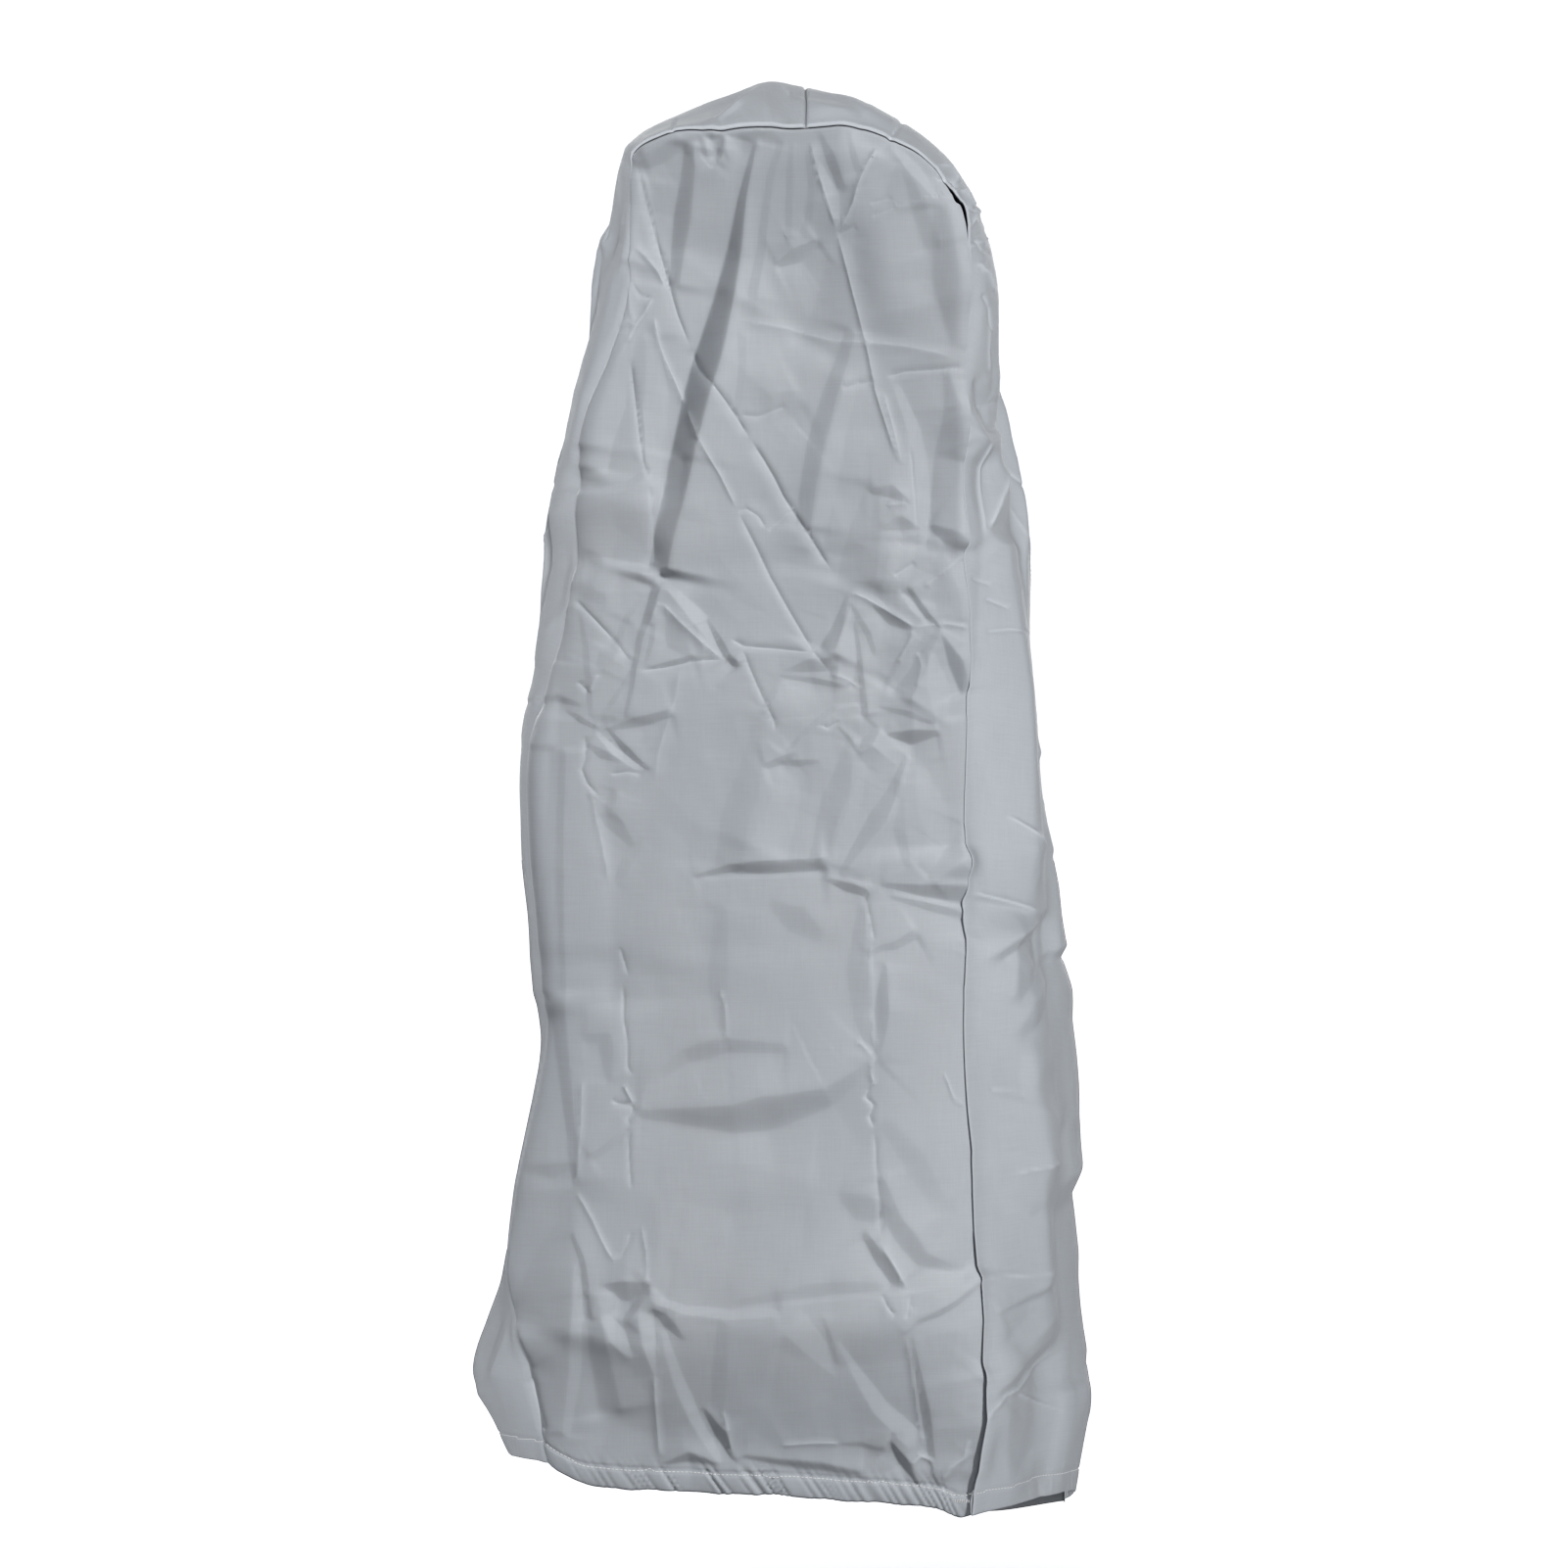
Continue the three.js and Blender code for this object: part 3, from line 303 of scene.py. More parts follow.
    (0.06, 2.5, (9, 11, 6), [(150, 984), (150, 1015), (148, 1045)]),
    (-0.5, 1, (1, 2.5, 1.5), [(103, 984), (113, 975), (128, 969), (143, 960), (161, 945)]),
    (0.12, 1, (2.5, 6, 2.5), [(112, 968), (131, 958), (150, 948)]),
    (-0.5, 1, (1, 5, 1.5), [(-83, 1089), (-65, 1084), (-44, 1089)]),
    (-0.45, 1, (1.5, 4, 3), [(-20, 1084), (9, 1089), (40, 1092), (66, 1097)]),
    (-0.3, 1, (1, 2, 1.5), [(54, 1074), (70, 1074), (87, 1078)]),
    (-0.65, 1, (1, 4, 1.5), [(94, 1073), (102, 1085), (113, 1103)]),
    (-0.4, 1, (1.5, 2.5, 1.5), [(133, 1105), (145, 1093), (155, 1082)]),
    (-0.35, 1, (1.5, 2.5, 1.5), [(86, 1082), (90, 1076), (92, 1066)]),
    # The right gusset
    (0.5, 1, (1.5, 8, 5), [(155, 248), (156, 265), (165, 284)]),
    (-0.28, 1, (4, 4, 1.5), [(163, 248), (168, 261), (171, 275)]),
    (-0.3, 1, (6, 7, 4), [(177, 242), (178, 258), (180, 274)]),
    (0.4, 1, (1.5, 4, 2.5), [(151, 280), (165, 289), (184, 282)]),
    (-0.6, 1, (8, 5, 1), [(174, 316), (168, 339), (162, 364)]),
    (0.25, 1, (1.5, 6, 2.5), [(164, 360), (175, 368), (186, 375)]),
    (-0.36, 1.5, (7, 15, 17), [(168, 377), (171, 436), (172, 497), (174, 558), (175, 604)]),
    (-0.24, 2, (18, 20, 20), [(175, 634), (177, 710), (178, 786), (181, 863), (184, 931)]),
    (0.22, 2, (4, 10, 8), [(189, 375), (194, 452), (202, 543), (210, 604)]),
    (0.25, 2, (3, 9, 9), [(212, 665), (218, 718), (222, 771)]),
    (-0.28, 1, (3, 3, 1.5), [(156, 646), (177, 651), (194, 656)]),
    (-0.55, 1, (1, 5, 3), [(203, 662), (213, 660), (225, 662)]),
    (-0.6, 1, (4, 5, 1.5), [(175, 691), (184, 681), (197, 674), (210, 665)]),
    (0.5, 1, (11, 11, 4), [(195, 681), (195, 698), (187, 722)]),
    (0.34, 2, (5, 8, 5), [(213, 716), (202, 732), (192, 750)]),
    (0.6, 1, (1.5, 11, 14), [(237, 800), (229, 821), (227, 847)]),
    (0.45, 2, (6, 10, 6), [(229, 863), (222, 901), (212, 939)]),
    (0.34, 1, (3, 11, 11), [(226, 940), (225, 954), (226, 969)]),
    (-0.45, 1, (1.5, 3, 1.5), [(175, 968), (198, 955), (218, 941)]),
    (0.3, 1.5, (4, 7, 5), [(171, 1013), (190, 986), (210, 964)]),
    (-0.38, 1, (3, 7, 9), [(175, 1031), (194, 1010), (216, 995), (235, 975)]),
    (0.22, 3, (15, 26, 20), [(200, 1015), (206, 1053), (206, 1091)]),
    (0.16, 2, (2.5, 5, 3), [(189, 1102), (200, 1091), (213, 1076)]),
    (-0.18, 1.5, (3, 4, 2.5), [(181, 887), (192, 891), (200, 884)]),
    (-0.16, 1, (2.5, 5, 2.5), [(192, 771), (194, 786), (193, 799)]),
    (-0.14, 1, (2.5, 5, 2.5), [(192, 613), (195, 627), (194, 639)]),
    # The top of the gusset
    (0.28, 1.5, (4, 7, 3), [(-101, 63), (-74, 51), (-48, 42), (-13, 22)]),
    (0.6, 1, (1.5, 4, 1), [(-40, 44), (-27, 32), (-13, 20)]),
    (-0.45, 1, (1, 2, 1), [(-38, 47), (-23, 35), (-9, 19)]),
    (0.16, 1, (1.5, 6, 6), [(-7, 19), (2, 32), (6, 45)]),
    (-0.05, 1, (2.5, 6, 2.5), [(19, 33), (34, 42), (54, 49)]),
    (0.34, 1, (1.5, 4, 2.5), [(21, 28), (44, 37), (66, 46)]),
    (-0.34, 1, (1, 2.5, 1.5), [(25, 21), (47, 31), (70, 46)]),
    (0.26, 1.5, (2.5, 8, 3), [(32, 21), (63, 32), (93, 47)]),
]

# Thin creases as seen from the front. Columns: rise out of the cloth, width of the side towards the upper
# right, width of the side towards the lower left, and the line as above
CREASES = [
    # The upper part of the front
    (1.4, 14, 3, [(30, 60), (35, 82), (44, 108), (50, 126)]),
    (1.6, 14, 3, [(50, 126), (58, 156), (67, 191), (75, 223), (81, 254), (92, 289), (99, 311)]),
    (1.8, 12, 3, [(83, 65), (75, 77), (67, 93), (63, 108), (53, 129)]),
    (-0.7, 4, 6, [(51, 132), (58, 128), (66, 125)]),
    (-0.5, 4, 4, [(76, 108), (94, 104)]),
    (-0.5, 4, 4, [(78, 118), (97, 111)]),
    (1.1, 8, 16, [(-28, 197), (11, 203), (47, 213), (85, 216), (103, 218), (127, 223), (145, 229)]),
    (-0.8, 5, 7, [(54, 251), (66, 248), (80, 245)]),
    (-1.3, 6, 8, [(89, 242), (104, 238), (125, 237), (150, 235)]),
    (-0.9, 3, 4, [(108, 296), (111, 330), (113, 360)]),
    (0.8, 4, 4, [(87, 254), (95, 284), (101, 311)]),
    (1, 4, 4, [(89, 342), (105, 340)]),
    (-0.9, 4, 5, [(95, 397), (104, 391), (112, 386)]),
    (0.9, 5, 5, [(118, 406), (133, 394), (151, 379)]),
    (-0.8, 4, 5, [(-25, 272), (-10, 273), (12, 264)]),
    (-0.7, 3, 4, [(-26, 348), (-20, 344), (-10, 350), (-4, 360)]),
    (-0.7, 3, 4, [(-3, 362), (7, 353), (15, 345)]),
    # From the left shoulder to the middle
    (-1.7, 3, 9, [(-105, 73), (-99, 102), (-91, 132), (-83, 160), (-74, 191), (-64, 217)]),
    (-1.5, 3, 8, [(-64, 217), (-55, 236), (-46, 248), (-36, 261), (-27, 274), (-17, 290)]),
    (-1.9, 4, 10, [(-17, 290), (-7, 305), (2, 320), (9, 334), (28, 363), (47, 392)]),
    (1.5, 3, 8, [(-92, 194), (-88, 214), (-84, 226), (-74, 248), (-67, 264)]),
    (1.1, 5, 3, [(-67, 264), (-58, 288), (-50, 303), (-40, 319), (-27, 345)]),
    (-1.2, 4, 6, [(-27, 345), (-13, 372), (-1, 397), (12, 420), (34, 457), (47, 472)]),
    (1.3, 6, 4, [(-107, 140), (-99, 147), (-89, 159), (-83, 172)]),
    (0.9, 4, 4, [(-108, 141), (-112, 166), (-110, 191), (-105, 203)]),
    (1.4, 3, 6, [(-93, 180), (-98, 191), (-106, 203), (-112, 216)]),
    (0.8, 3, 3, [(-118, 203), (-112, 198), (-106, 203)]),
    (-0.8, 3, 4, [(-112, 166), (-103, 178), (-93, 181)]),
    (-1.3, 3, 4, [(-110, 227), (-107, 254), (-103, 288), (-100, 307), (-95, 325)]),
    (-1, 6, 5, [(-95, 325), (-93, 353), (-92, 387)]),
    # The crumpled zone, left
    (-1.5, 4, 7, [(-154, 414), (-139, 429), (-126, 443), (-119, 451), (-109, 464)]),
    (1, 5, 4, [(-87, 417), (-91, 426), (-94, 436)]),
    (1.3, 4, 8, [(-86, 417), (-74, 430), (-58, 445), (-39, 461)]),
    (-1.3, 4, 3, [(-101, 471), (-83, 468), (-61, 463), (-38, 461)]),
    (-1.7, 6, 4, [(-32, 445), (-21, 451), (7, 453), (34, 456)]),
    (-1.1, 4, 5, [(-23, 452), (-17, 468), (-10, 484), (-4, 497), (2, 509), (3, 519)]),
    (1.1, 3, 4, [(-134, 474), (-141, 488)]),
    (-1, 4, 4, [(-150, 479), (-141, 488)]),
    (-1.1, 3, 4, [(-144, 520), (-144, 539), (-147, 547), (-143, 558), (-135, 567)]),
    (-1, 4, 4, [(-125, 551), (-112, 549), (-100, 551)]),
    (0.8, 10, 8, [(-71, 467), (-74, 490), (-82, 514), (-88, 535), (-91, 558)]),
    (0.7, 5, 4, [(-141, 558), (-136, 585), (-129, 619), (-126, 638)]),
    # The crumpled zone, right
    (1.6, 6, 6, [(60, 408), (74, 414), (89, 423), (112, 437)]),
    (0.9, 4, 5, [(111, 437), (121, 435), (136, 434), (154, 437)]),
    (1, 3, 3, [(110, 438), (108, 448), (99, 465)]),
    (0.8, 4, 4, [(46, 472), (60, 477), (70, 484)]),
    (-0.8, 3, 3, [(38, 512), (44, 515), (53, 509)]),
    (0.8, 4, 4, [(113, 484), (117, 467), (114, 455)]),
    # Below the waist
    (-0.9, 3, 3, [(75, 634), (73, 646), (77, 663), (80, 681)]),
    (0.9, 3, 3, [(77, 681), (78, 710), (79, 745), (80, 768)]),
    (1, 3, 4, [(65, 756), (80, 770)]),
    (1.2, 3, 3, [(80, 771), (77, 783), (80, 793)]),
    (-1.3, 3, 3, [(77, 793), (73, 802), (80, 808), (76, 817), (80, 826)]),
    (-1, 3, 3, [(80, 826), (82, 868), (85, 910)]),
    (1.3, 3, 4, [(85, 917), (95, 933), (104, 950)]),
    (-1, 3, 3, [(85, 954), (89, 964), (95, 971)]),
    (-0.9, 3, 3, [(107, 954), (103, 973)]),
    (-0.9, 3, 3, [(-118, 686), (-112, 707)]),
    (-1, 3, 3, [(-116, 714), (-115, 741), (-112, 758), (-112, 779), (-106, 786)]),
    (1.2, 3, 3, [(-115, 793), (-110, 802), (-106, 809)]),
    (-1.2, 3, 3, [(-124, 805), (-114, 808), (-106, 809)]),
    (-1.1, 3, 3, [(-106, 811), (-112, 818), (-111, 824)]),
    (-1, 3, 3, [(-111, 826), (-111, 847), (-109, 874)]),
    (0.8, 3, 3, [(-101, 901), (-97, 923), (-96, 951)]),
    (-0.7, 3, 3, [(-109, 905), (-112, 917), (-118, 927)]),
    (0.8, 3, 3, [(-40, 718), (-36, 733), (-35, 756)]),
    (0.9, 4, 4, [(-146, 786), (-147, 824), (-150, 859), (-152, 874)]),
    (1, 3, 4, [(-152, 874), (-139, 897), (-128, 920), (-121, 931)]),
    (1, 3, 3, [(135, 783), (143, 803), (154, 809)]),
    # The left flare and the hem
    (-2.4, 6, 7, [(-188, 1019), (-182, 1044), (-176, 1063)]),
    (1.2, 5, 5, [(-91, 1015), (-90, 1049), (-87, 1086)]),
    (0.9, 3, 3, [(-38, 1045), (-34, 1064), (-30, 1087)]),
    (0.9, 4, 4, [(6, 1075), (32, 1073), (54, 1073)]),
    (1.3, 4, 4, [(108, 1091), (116, 1082), (125, 1086), (129, 1102)]),
    (1.2, 4, 4, [(133, 1102), (139, 1091), (150, 1083), (154, 1068)]),
    (1, 4, 4, [(104, 988), (109, 1015), (114, 1045), (119, 1076)]),
    # The right gusset
    (1.4, 5, 3, [(166, 289), (163, 330), (161, 366)]),
    (1.4, 5, 4, [(182, 312), (172, 337), (164, 360)]),
    (-1.1, 4, 4, [(164, 440), (178, 439), (196, 443)]),
    (-0.8, 4, 4, [(155, 398), (168, 404)]),
    (-0.9, 4, 4, [(164, 414), (177, 423)]),
    (1.6, 4, 6, [(177, 582), (192, 597), (207, 610), (221, 631)]),
    (1.4, 5, 5, [(160, 643), (184, 651), (202, 659)]),
    (0.9, 4, 4, [(184, 861), (200, 855), (217, 847)]),
    (-0.7, 3, 3, [(171, 796), (192, 799)]),
    (1.2, 6, 5, [(164, 942), (200, 939), (236, 938)]),
    (1.3, 4, 5, [(164, 1060), (169, 1045), (178, 1033), (189, 1028), (207, 1010), (234, 984)]),
    (1.1, 4, 4, [(189, 1032), (211, 1040), (235, 1050)]),
    (-0.8, 3, 3, [(149, 136), (161, 130)]),
    (0.9, 3, 3, [(147, 143), (160, 137)]),
    (-0.8, 3, 3, [(152, 161), (160, 158)]),
    (0.8, 3, 3, [(163, 200), (165, 223), (168, 240)]),
    (-0.9, 3, 3, [(145, 105), (152, 114)]),
    (1.8, 3, 4, [(125, 80), (133, 83), (139, 94)]),
    (-1.8, 3, 3, [(127, 89), (136, 94), (140, 102)]),
    (1.8, 3, 4, [(136, 98), (143, 103), (149, 114)]),
    (-1.8, 3, 4, [(142, 111), (151, 118), (156, 127)]),
    (1.8, 4, 3, [(146, 129), (149, 120), (155, 115)]),
    (-1.6, 4, 3, [(149, 137), (154, 146), (162, 149)]),
    (1.6, 4, 4, [(151, 155), (159, 165), (165, 178)]),
    (-1.6, 4, 4, [(155, 178), (162, 190), (166, 208)]),
    # The top of the gusset
    (-2, 3, 3, [(-74, 42), (-77, 56)]),
    (1, 4, 4, [(5, 16), (14, 25)]),
    (-2, 5, 5, [(102, 45), (90, 61)]),
]

# The sides that aren't seen from the front take their folds from another part of the front: where from, how
# much of them shows, how much wider the back's creases are, and how much of their wear and painted highlight
# stays
BACK_SHIFT_X = 14.0
BACK_SHIFT_DOWN = 46.0
BACK_FOLD_SHARE = 0.8
BACK_WIDENING = 2.6
BACK_WEAR_AND_HIGHLIGHT_SHARE = 0.5
SIDE_SHIFT_X = -150.0
SIDE_SPREAD = 1.1
SIDE_SHIFT_DOWN = -70.0
FACING_FADE = (-32.0, 14.0)
SLANT_LEAST = 0.7

# How a fold fades out beyond its edges and past its ends, and how round the top of a crease is
LEAN_SCALE = 1.3
FOLD_TAIL = 4.0
FOLD_TAIL_LEAST = 22.0
PANEL_END_SHARE = 0.4
GUSSET_END_SHARE = 1.3
FOLD_END_LEAST = 2.0
LINE_SHARES = (0, 0.5, 1)
CREASE_TIP = 0.3
CREASE_CURVE = 3.0
CREASE_REACH = 1.2
CREASE_FADE = 0.12
# Width and full rise of the pale line along each crease: wear, and a painted highlight on the crease line
WEAR_AND_HIGHLIGHT_WIDTH = 1.0
WEAR_AND_HIGHLIGHT_FULL_RISE = 2.0

# Unevenness of the whole cloth. Columns: size of the bumps, rise, stretch along the height
UNEVENNESS = [(46, 0.9, 1.6), (21, 0.32, 1.9), (9, 0.07, 1.4)]
# Flat facets all over the cloth. Columns: size, rise, turn of their grid in radians
CRUMPLES = [(38, 0.75, 0.5), (21, 0.4, -0.3)]
CRUMPLE_STRETCH = 1.5
CRUMPLE_PATCH_SIZE = 90.0
CRUMPLE_PATCH_SHARE = 0.55
CRUMPLE_PATCH_RANGE = (-0.5, 0.6)
FACET_WARP = 0.8
FACET_WARP_SIZE = 1.7
LATTICE = 64
# How much of the facets shows: distance below the top, share
CRUMPLE_SHARES = [
    (0, 0.5), (60, 0.6), (150, 0.6), (300, 0.8), (400, 1.3), (520, 1.3), (600, 0.7), (700, 0.45), (900, 0.4),
    (960, 0.8), (1150, 0.8),
]
FRONT_SEED = 11
BACK_SEED = 51
GUSSET_BUMP_SEED = 31
GUSSET_FACET_SEED = 33
PATCH_SEED_STEP = 7
LAYER_SEED_STEP = 10

# How the mesh's points gather along creases and the edges of narrow folds
DRAW_REACH = 6.0
DRAW_CURVE = 1.8
DRAW_WIDEST = 22
DRAW_RIM = 20.0
DRAW_LEAST = 1e-6

# Seams: how far the cloth beside them lies calm and turns their way, how deep it draws in, and the slot
# between the sheets, which opens at the gape below the right corner and at the slit above the hem's right end
SEAM_CALM = 12.0
SEAM_TURN = 6.0
SIDE_GROOVES = [(0, 0.3), (1100, 0.3), (1500, 0.4), (2600, 0.4)]
TOP_GROOVE = 2.2
TOP_FADE_LEFT = 20
TOP_FADE_RIGHT = 60
GROOVE_WIDTH = 1.3
SIDE_SLOT = -0.8
TOP_SLOT = 0.6
SLOT_REACH = 5.0
GAPE_SLOT = 4.4
GAPE_PLACE = 4.0
GAPE_LENGTH = 16.0
HEM_SLIT = 0.7
HEM_SLIT_PLACE = 34.0
HEM_SLIT_LENGTH = 17.0
ROLL_RISE = 0.28
ROLL_PLACE = 2.8
ROLL_WIDTH = 1.5
MIDDLE_ROLL_SHARE = 0.6

# Hem casing
CASING_PUFF = 0.9
CASING_ROUNDNESS = 0.6
CASING_LEAN = 0.07
CASING_DEPTH = 3.0
CASING_FOLD = 0.7
CASING_PAST_STITCHES = 1.0
CASING_COLUMN = 20
STITCH_GROOVE_DEPTH = 0.8
STITCH_GROOVE_WIDTH = 1.6
GATHER_RISE = 1.0
GATHER_PITCH = 8.0
GATHER_SLANT = 0.45
GATHER_REACH = 5.0
GATHER_WANDER = 7.0
GATHER_SHARPNESS = 0.5
GATHER_STRENGTHS = (-0.7, 0.6)
# Noise in the gathers' places and strengths. Columns: stretch along the height, size, seed
GATHER_PLACE_NOISE = (6, 15.0, 5)
GATHER_STRENGTH_NOISE = (9, 13.0, 8)
# Share of the gathers along the front hem: distance from its left end, share
GATHER_PLACES = [
    (0, 0.25), (60, 0.35), (100, 0.8), (150, 1.0), (225, 0.9), (270, 0.4), (305, 0.6), (345, 0.9),
]
FLAT_HEM_SHARE = 0.25
EDGE_WAVE = 1.6
EDGE_WAVE_SIZE = 14.0
EDGE_WAVE_SEED = 17

# Thread
STITCH_PITCH = 3.3
STITCH_LENGTH = 2.4
STITCH_DROP = 0.6
THREAD_RADIUS = 0.27
THREAD_SIDES = 6
# A stitch from end to end. Columns: share of its length, height over the cloth, thickness as a share
STITCH_FORM = [(0.0, -0.3, 0.45), (0.18, 0.18, 1.0), (0.5, 0.32, 1.0), (0.82, 0.18, 1.0), (1.0, -0.3, 0.45)]
# The bar-tack that locks the end of the front hem's stitches: where it is seen, its size and its turns
TACK_X = 148.6
TACK_DOWN = 1115.6
TACK_LENGTH = 12.0
TACK_HEIGHT = 3.0
TACK_TURNS = 9

# Mesh steps, and how closely the rows lie: share of the height from the hem up, density
PANEL_ROWS = 561
PANEL_COLUMNS = 165
GUSSET_COLUMNS = 112
BACK_RATIO = 2
SPREAD_STEPS = 4001
ROW_DENSITY = [
    (0.0, 1.6), (0.02, 1.2), (0.07, 1.0), (0.15, 1.0), (0.19, 0.65), (0.24, 0.7), (0.3, 0.8), (0.35, 0.65),
    (0.41, 0.95), (0.46, 1.1), (0.52, 1.6), (0.68, 1.6), (0.74, 1.0), (0.9, 0.9), (1.0, 1.4),
]
COLUMN_DENSITY = [(0.0, 1.4), (0.06, 1.0), (0.94, 1.0), (1.0, 1.4)]
GUSSET_DENSITY = [(0.0, 2.2), (0.1, 1.5), (0.5, 1.0), (0.9, 0.7), (1.0, 1.2)]

# Looks of the cloth: two tints, the weave's fineness in radians a metre, slubs and picks as repeats a metre,
# clouds of tone, how pale the creases are, for wear and as a painted highlight, how rough worn creases are,
# and how deep the weave is in metres
CLOTH_TINTS = ((0.256, 0.277, 0.306), (0.272, 0.288, 0.309))
WEAVE_FINENESS = 7400.0
WEAVE_SHARE = 0.5
SLUB_SCALE = (900.0, 40.0, 1.0)
PICK_SCALE = (35.0, 800.0, 1.0)
GRAIN_DETAIL = 2.0
GRAIN_RANGE = (0.6, 1.4)
SHADE_RANGE = (0.955, 1.045)
CLOUD_SCALE = 9.0
CLOUD_DETAIL = 3.0
CLOUD_RANGE = (0.3, 0.7)
ROUGHNESS_RANGE = (0.50, 0.58)
CREASE_WEAR_AND_HIGHLIGHT_PALENESS = 0.22
WEAR_ROUGHNESS = 0.12
WEAVE_BUMP = (0.12, 0.0004)
SHEEN = 0.06
SHEEN_ROUGHNESS = 0.4
SPECULAR = 0.15
THREAD_TINTS = ((0.44, 0.45, 0.46), (0.60, 0.60, 0.59))
THREAD_SCALE = 900.0
THREAD_BUMP = (0.3, 0.0002)
THREAD_ROUGHNESS = 0.6

# The floor in metres, and the white around the horizon that ends in grey overhead: heights on a unit
# sphere and strengths
FLOOR_REACH = 30.0
FLOOR_HEIGHT = -1.19
FLOOR_GREY = (0.25, 0.25, 0.25, 1)
FLOOR_ROUGHNESS = 0.9
SKY_EDGE = (0.2, 0.25)
SKY_STRENGTHS = (1.06, 0.12)
SKY_COLOUR = (0.985, 1.0, 1.02, 1)
WARM = (1.0, 0.99, 0.975)
WHITE = (1.0, 1.0, 1.0)
# Soft suns: a key from the upper right and its like from the front, a wash that throws soft light up from the
# floor without a shadow, a fill from the left and two from behind.
# Columns: name, where it comes from, strength, angle in degrees, colour, what it lights
SUNS = [
    ("key", (0.55, -0.63, 0.50), 4.8, 5, WARM, "panels"),
    ("front", (0.14, -0.97, 0.03), 5.5, 10, WARM, "gussets"),
    ("wash", (0, 0, 1), 2.4, 20, WHITE, "floor"),
    ("fill", (-0.97, -0.05, 0.1), 1.6, 50, WHITE, "all"),
    ("rim", (-0.70, 0.58, 0.42), 2.7, 8, WHITE, "panels"),
    ("back", (0.1, 0.95, 0.3), 2.0, 60, WHITE, "all"),
]


def smoothstep(value, low, high):
    t = np.clip((value - low) / (high - low), 0, 1)
    return t * t * (3 - 2 * t)


def blend(first, second, share):
    return first * (1 - share) + second * share


def near(distance, width):
    """1 at no distance, fading softly over the width."""
    return np.exp(-((distance / width) ** 2))


def read_off(rows, place):
    """The value at a place, straight between the rows of a table of places and values."""
    return np.interp(place, *zip(*rows))


def unit(vectors):
    return vectors / np.maximum(np.linalg.norm(vectors, axis=-1, keepdims=True), TINY)


def running_length(points, axis=0):
    """Distance along a line of points, or along the columns (axis 0) or the rows (axis 1) of a grid."""
    steps = np.linalg.norm(np.diff(points, axis=axis), axis=-1)
    return np.concatenate([np.zeros_like(steps.take([0], axis)), np.cumsum(steps, axis=axis)], axis=axis)


def smooth_column(places, values):
    """A smooth curve through values that never overshoots them, as a function of place."""
    places, values = np.asarray(places, float), np.asarray(values, float)
    slopes = np.diff(values) / np.diff(places)
    before, after = slopes[:-1], slopes[1:]
    total = np.where(np.abs(before + after) > TINY, before + after, 1.0)
    inner = np.where(before * after <= 0, 0.0, 2 * before * after / total)
    tangents = np.concatenate([slopes[:1], inner, slopes[-1:]])

    def at(place):
        place = np.clip(place, places[0], places[-1])
        k = np.clip(np.searchsorted(places, place, side="right") - 1, 0, len(places) - 2)
        length = places[k + 1] - places[k]
        t = (place - places[k]) / length
        start = (1 + 2 * t) * (1 - t) ** 2 * values[k] + t * (1 - t) ** 2 * length * tangents[k]
        end = t * t * (3 - 2 * t) * values[k + 1] + t * t * (t - 1) * length * tangents[k + 1]
        return start + end

    return at


# The sections as smooth columns over the running length of the front seam
SECTIONS = np.array(LEFT_SECTIONS + TOP_SECTIONS + RIGHT_SECTIONS, float)
PLACES = running_length(SECTIONS[:, :2])
LEFT_CORNER = PLACES[len(LEFT_SECTIONS)]
RIGHT_CORNER = PLACES[len(LEFT_SECTIONS) + len(TOP_SECTIONS) - 1]
END = PLACES[-1]
seam_x, seam_down, half, edge_x, edge_down, edge_y, back_x, back_down = [
    smooth_column(PLACES, column) for column in SECTIONS.T
]
front_crown = smooth_column(*zip(*FRONT_CROWN))
back_crown = smooth_column(*zip(*BACK_CROWN))


def seam_places(up, along):
    """Places on the seams at a panel's left, right and top rims."""
    top = LEFT_CORNER + along * (RIGHT_CORNER - LEFT_CORNER)
    return up * LEFT_CORNER, END - up * (END - RIGHT_CORNER), top


def spread(count, density):
    """Shares from 0 to 1 that lie closer together where the density is higher."""
    fine = np.linspace(0, 1, SPREAD_STEPS)
    total = np.cumsum(read_off(density, fine))
    total = (total - total[0]) / (total[-1] - total[0])
    return np.interp(np.linspace(0, 1, count), total, fine)


# The grids of rows and columns that the sheets share at their seams
UPS = spread(PANEL_ROWS, ROW_DENSITY)
ALONGS = spread(PANEL_COLUMNS, COLUMN_DENSITY)
ACROSS = spread(GUSSET_COLUMNS, GUSSET_DENSITY)
LEFT_PLACES, RIGHT_PLACES, TOP_PLACES = seam_places(UPS, ALONGS)
STATIONS = np.concatenate([LEFT_PLACES, TOP_PLACES[1:], RIGHT_PLACES[::-1][1:]])
TOP_MIDDLE = PANEL_ROWS - 1 + (PANEL_COLUMNS - 1) // 2


def cloth(x, y, down):
    return np.stack(np.broadcast_arrays(x, y, CAD_CLOTH - down), axis=-1).astype(float)


def down_of(points):
    return CAD_CLOTH - points[..., 2]


def reach_from(points, rim):
    return np.linalg.norm(points - rim, axis=-1)


def grid_normals(points):
    """Unit normals of a grid, from its columns towards its rows."""
    return unit(np.cross(np.gradient(points, axis=1), np.gradient(points, axis=0)))


def front_seam(place):
    return cloth(seam_x(place), -half(place), seam_down(place))


def back_seam(place):
    return cloth(back_x(place), half(place), back_down(place))


def hem_line(rows, y, share):
    """A hem at shares of its length, from left to right."""
    rows = np.array(rows, float)
    length = running_length(rows)
    x, down = [smooth_column(length, column)(share * length[-1]) for column in rows.T]
    return cloth(x, y, down)


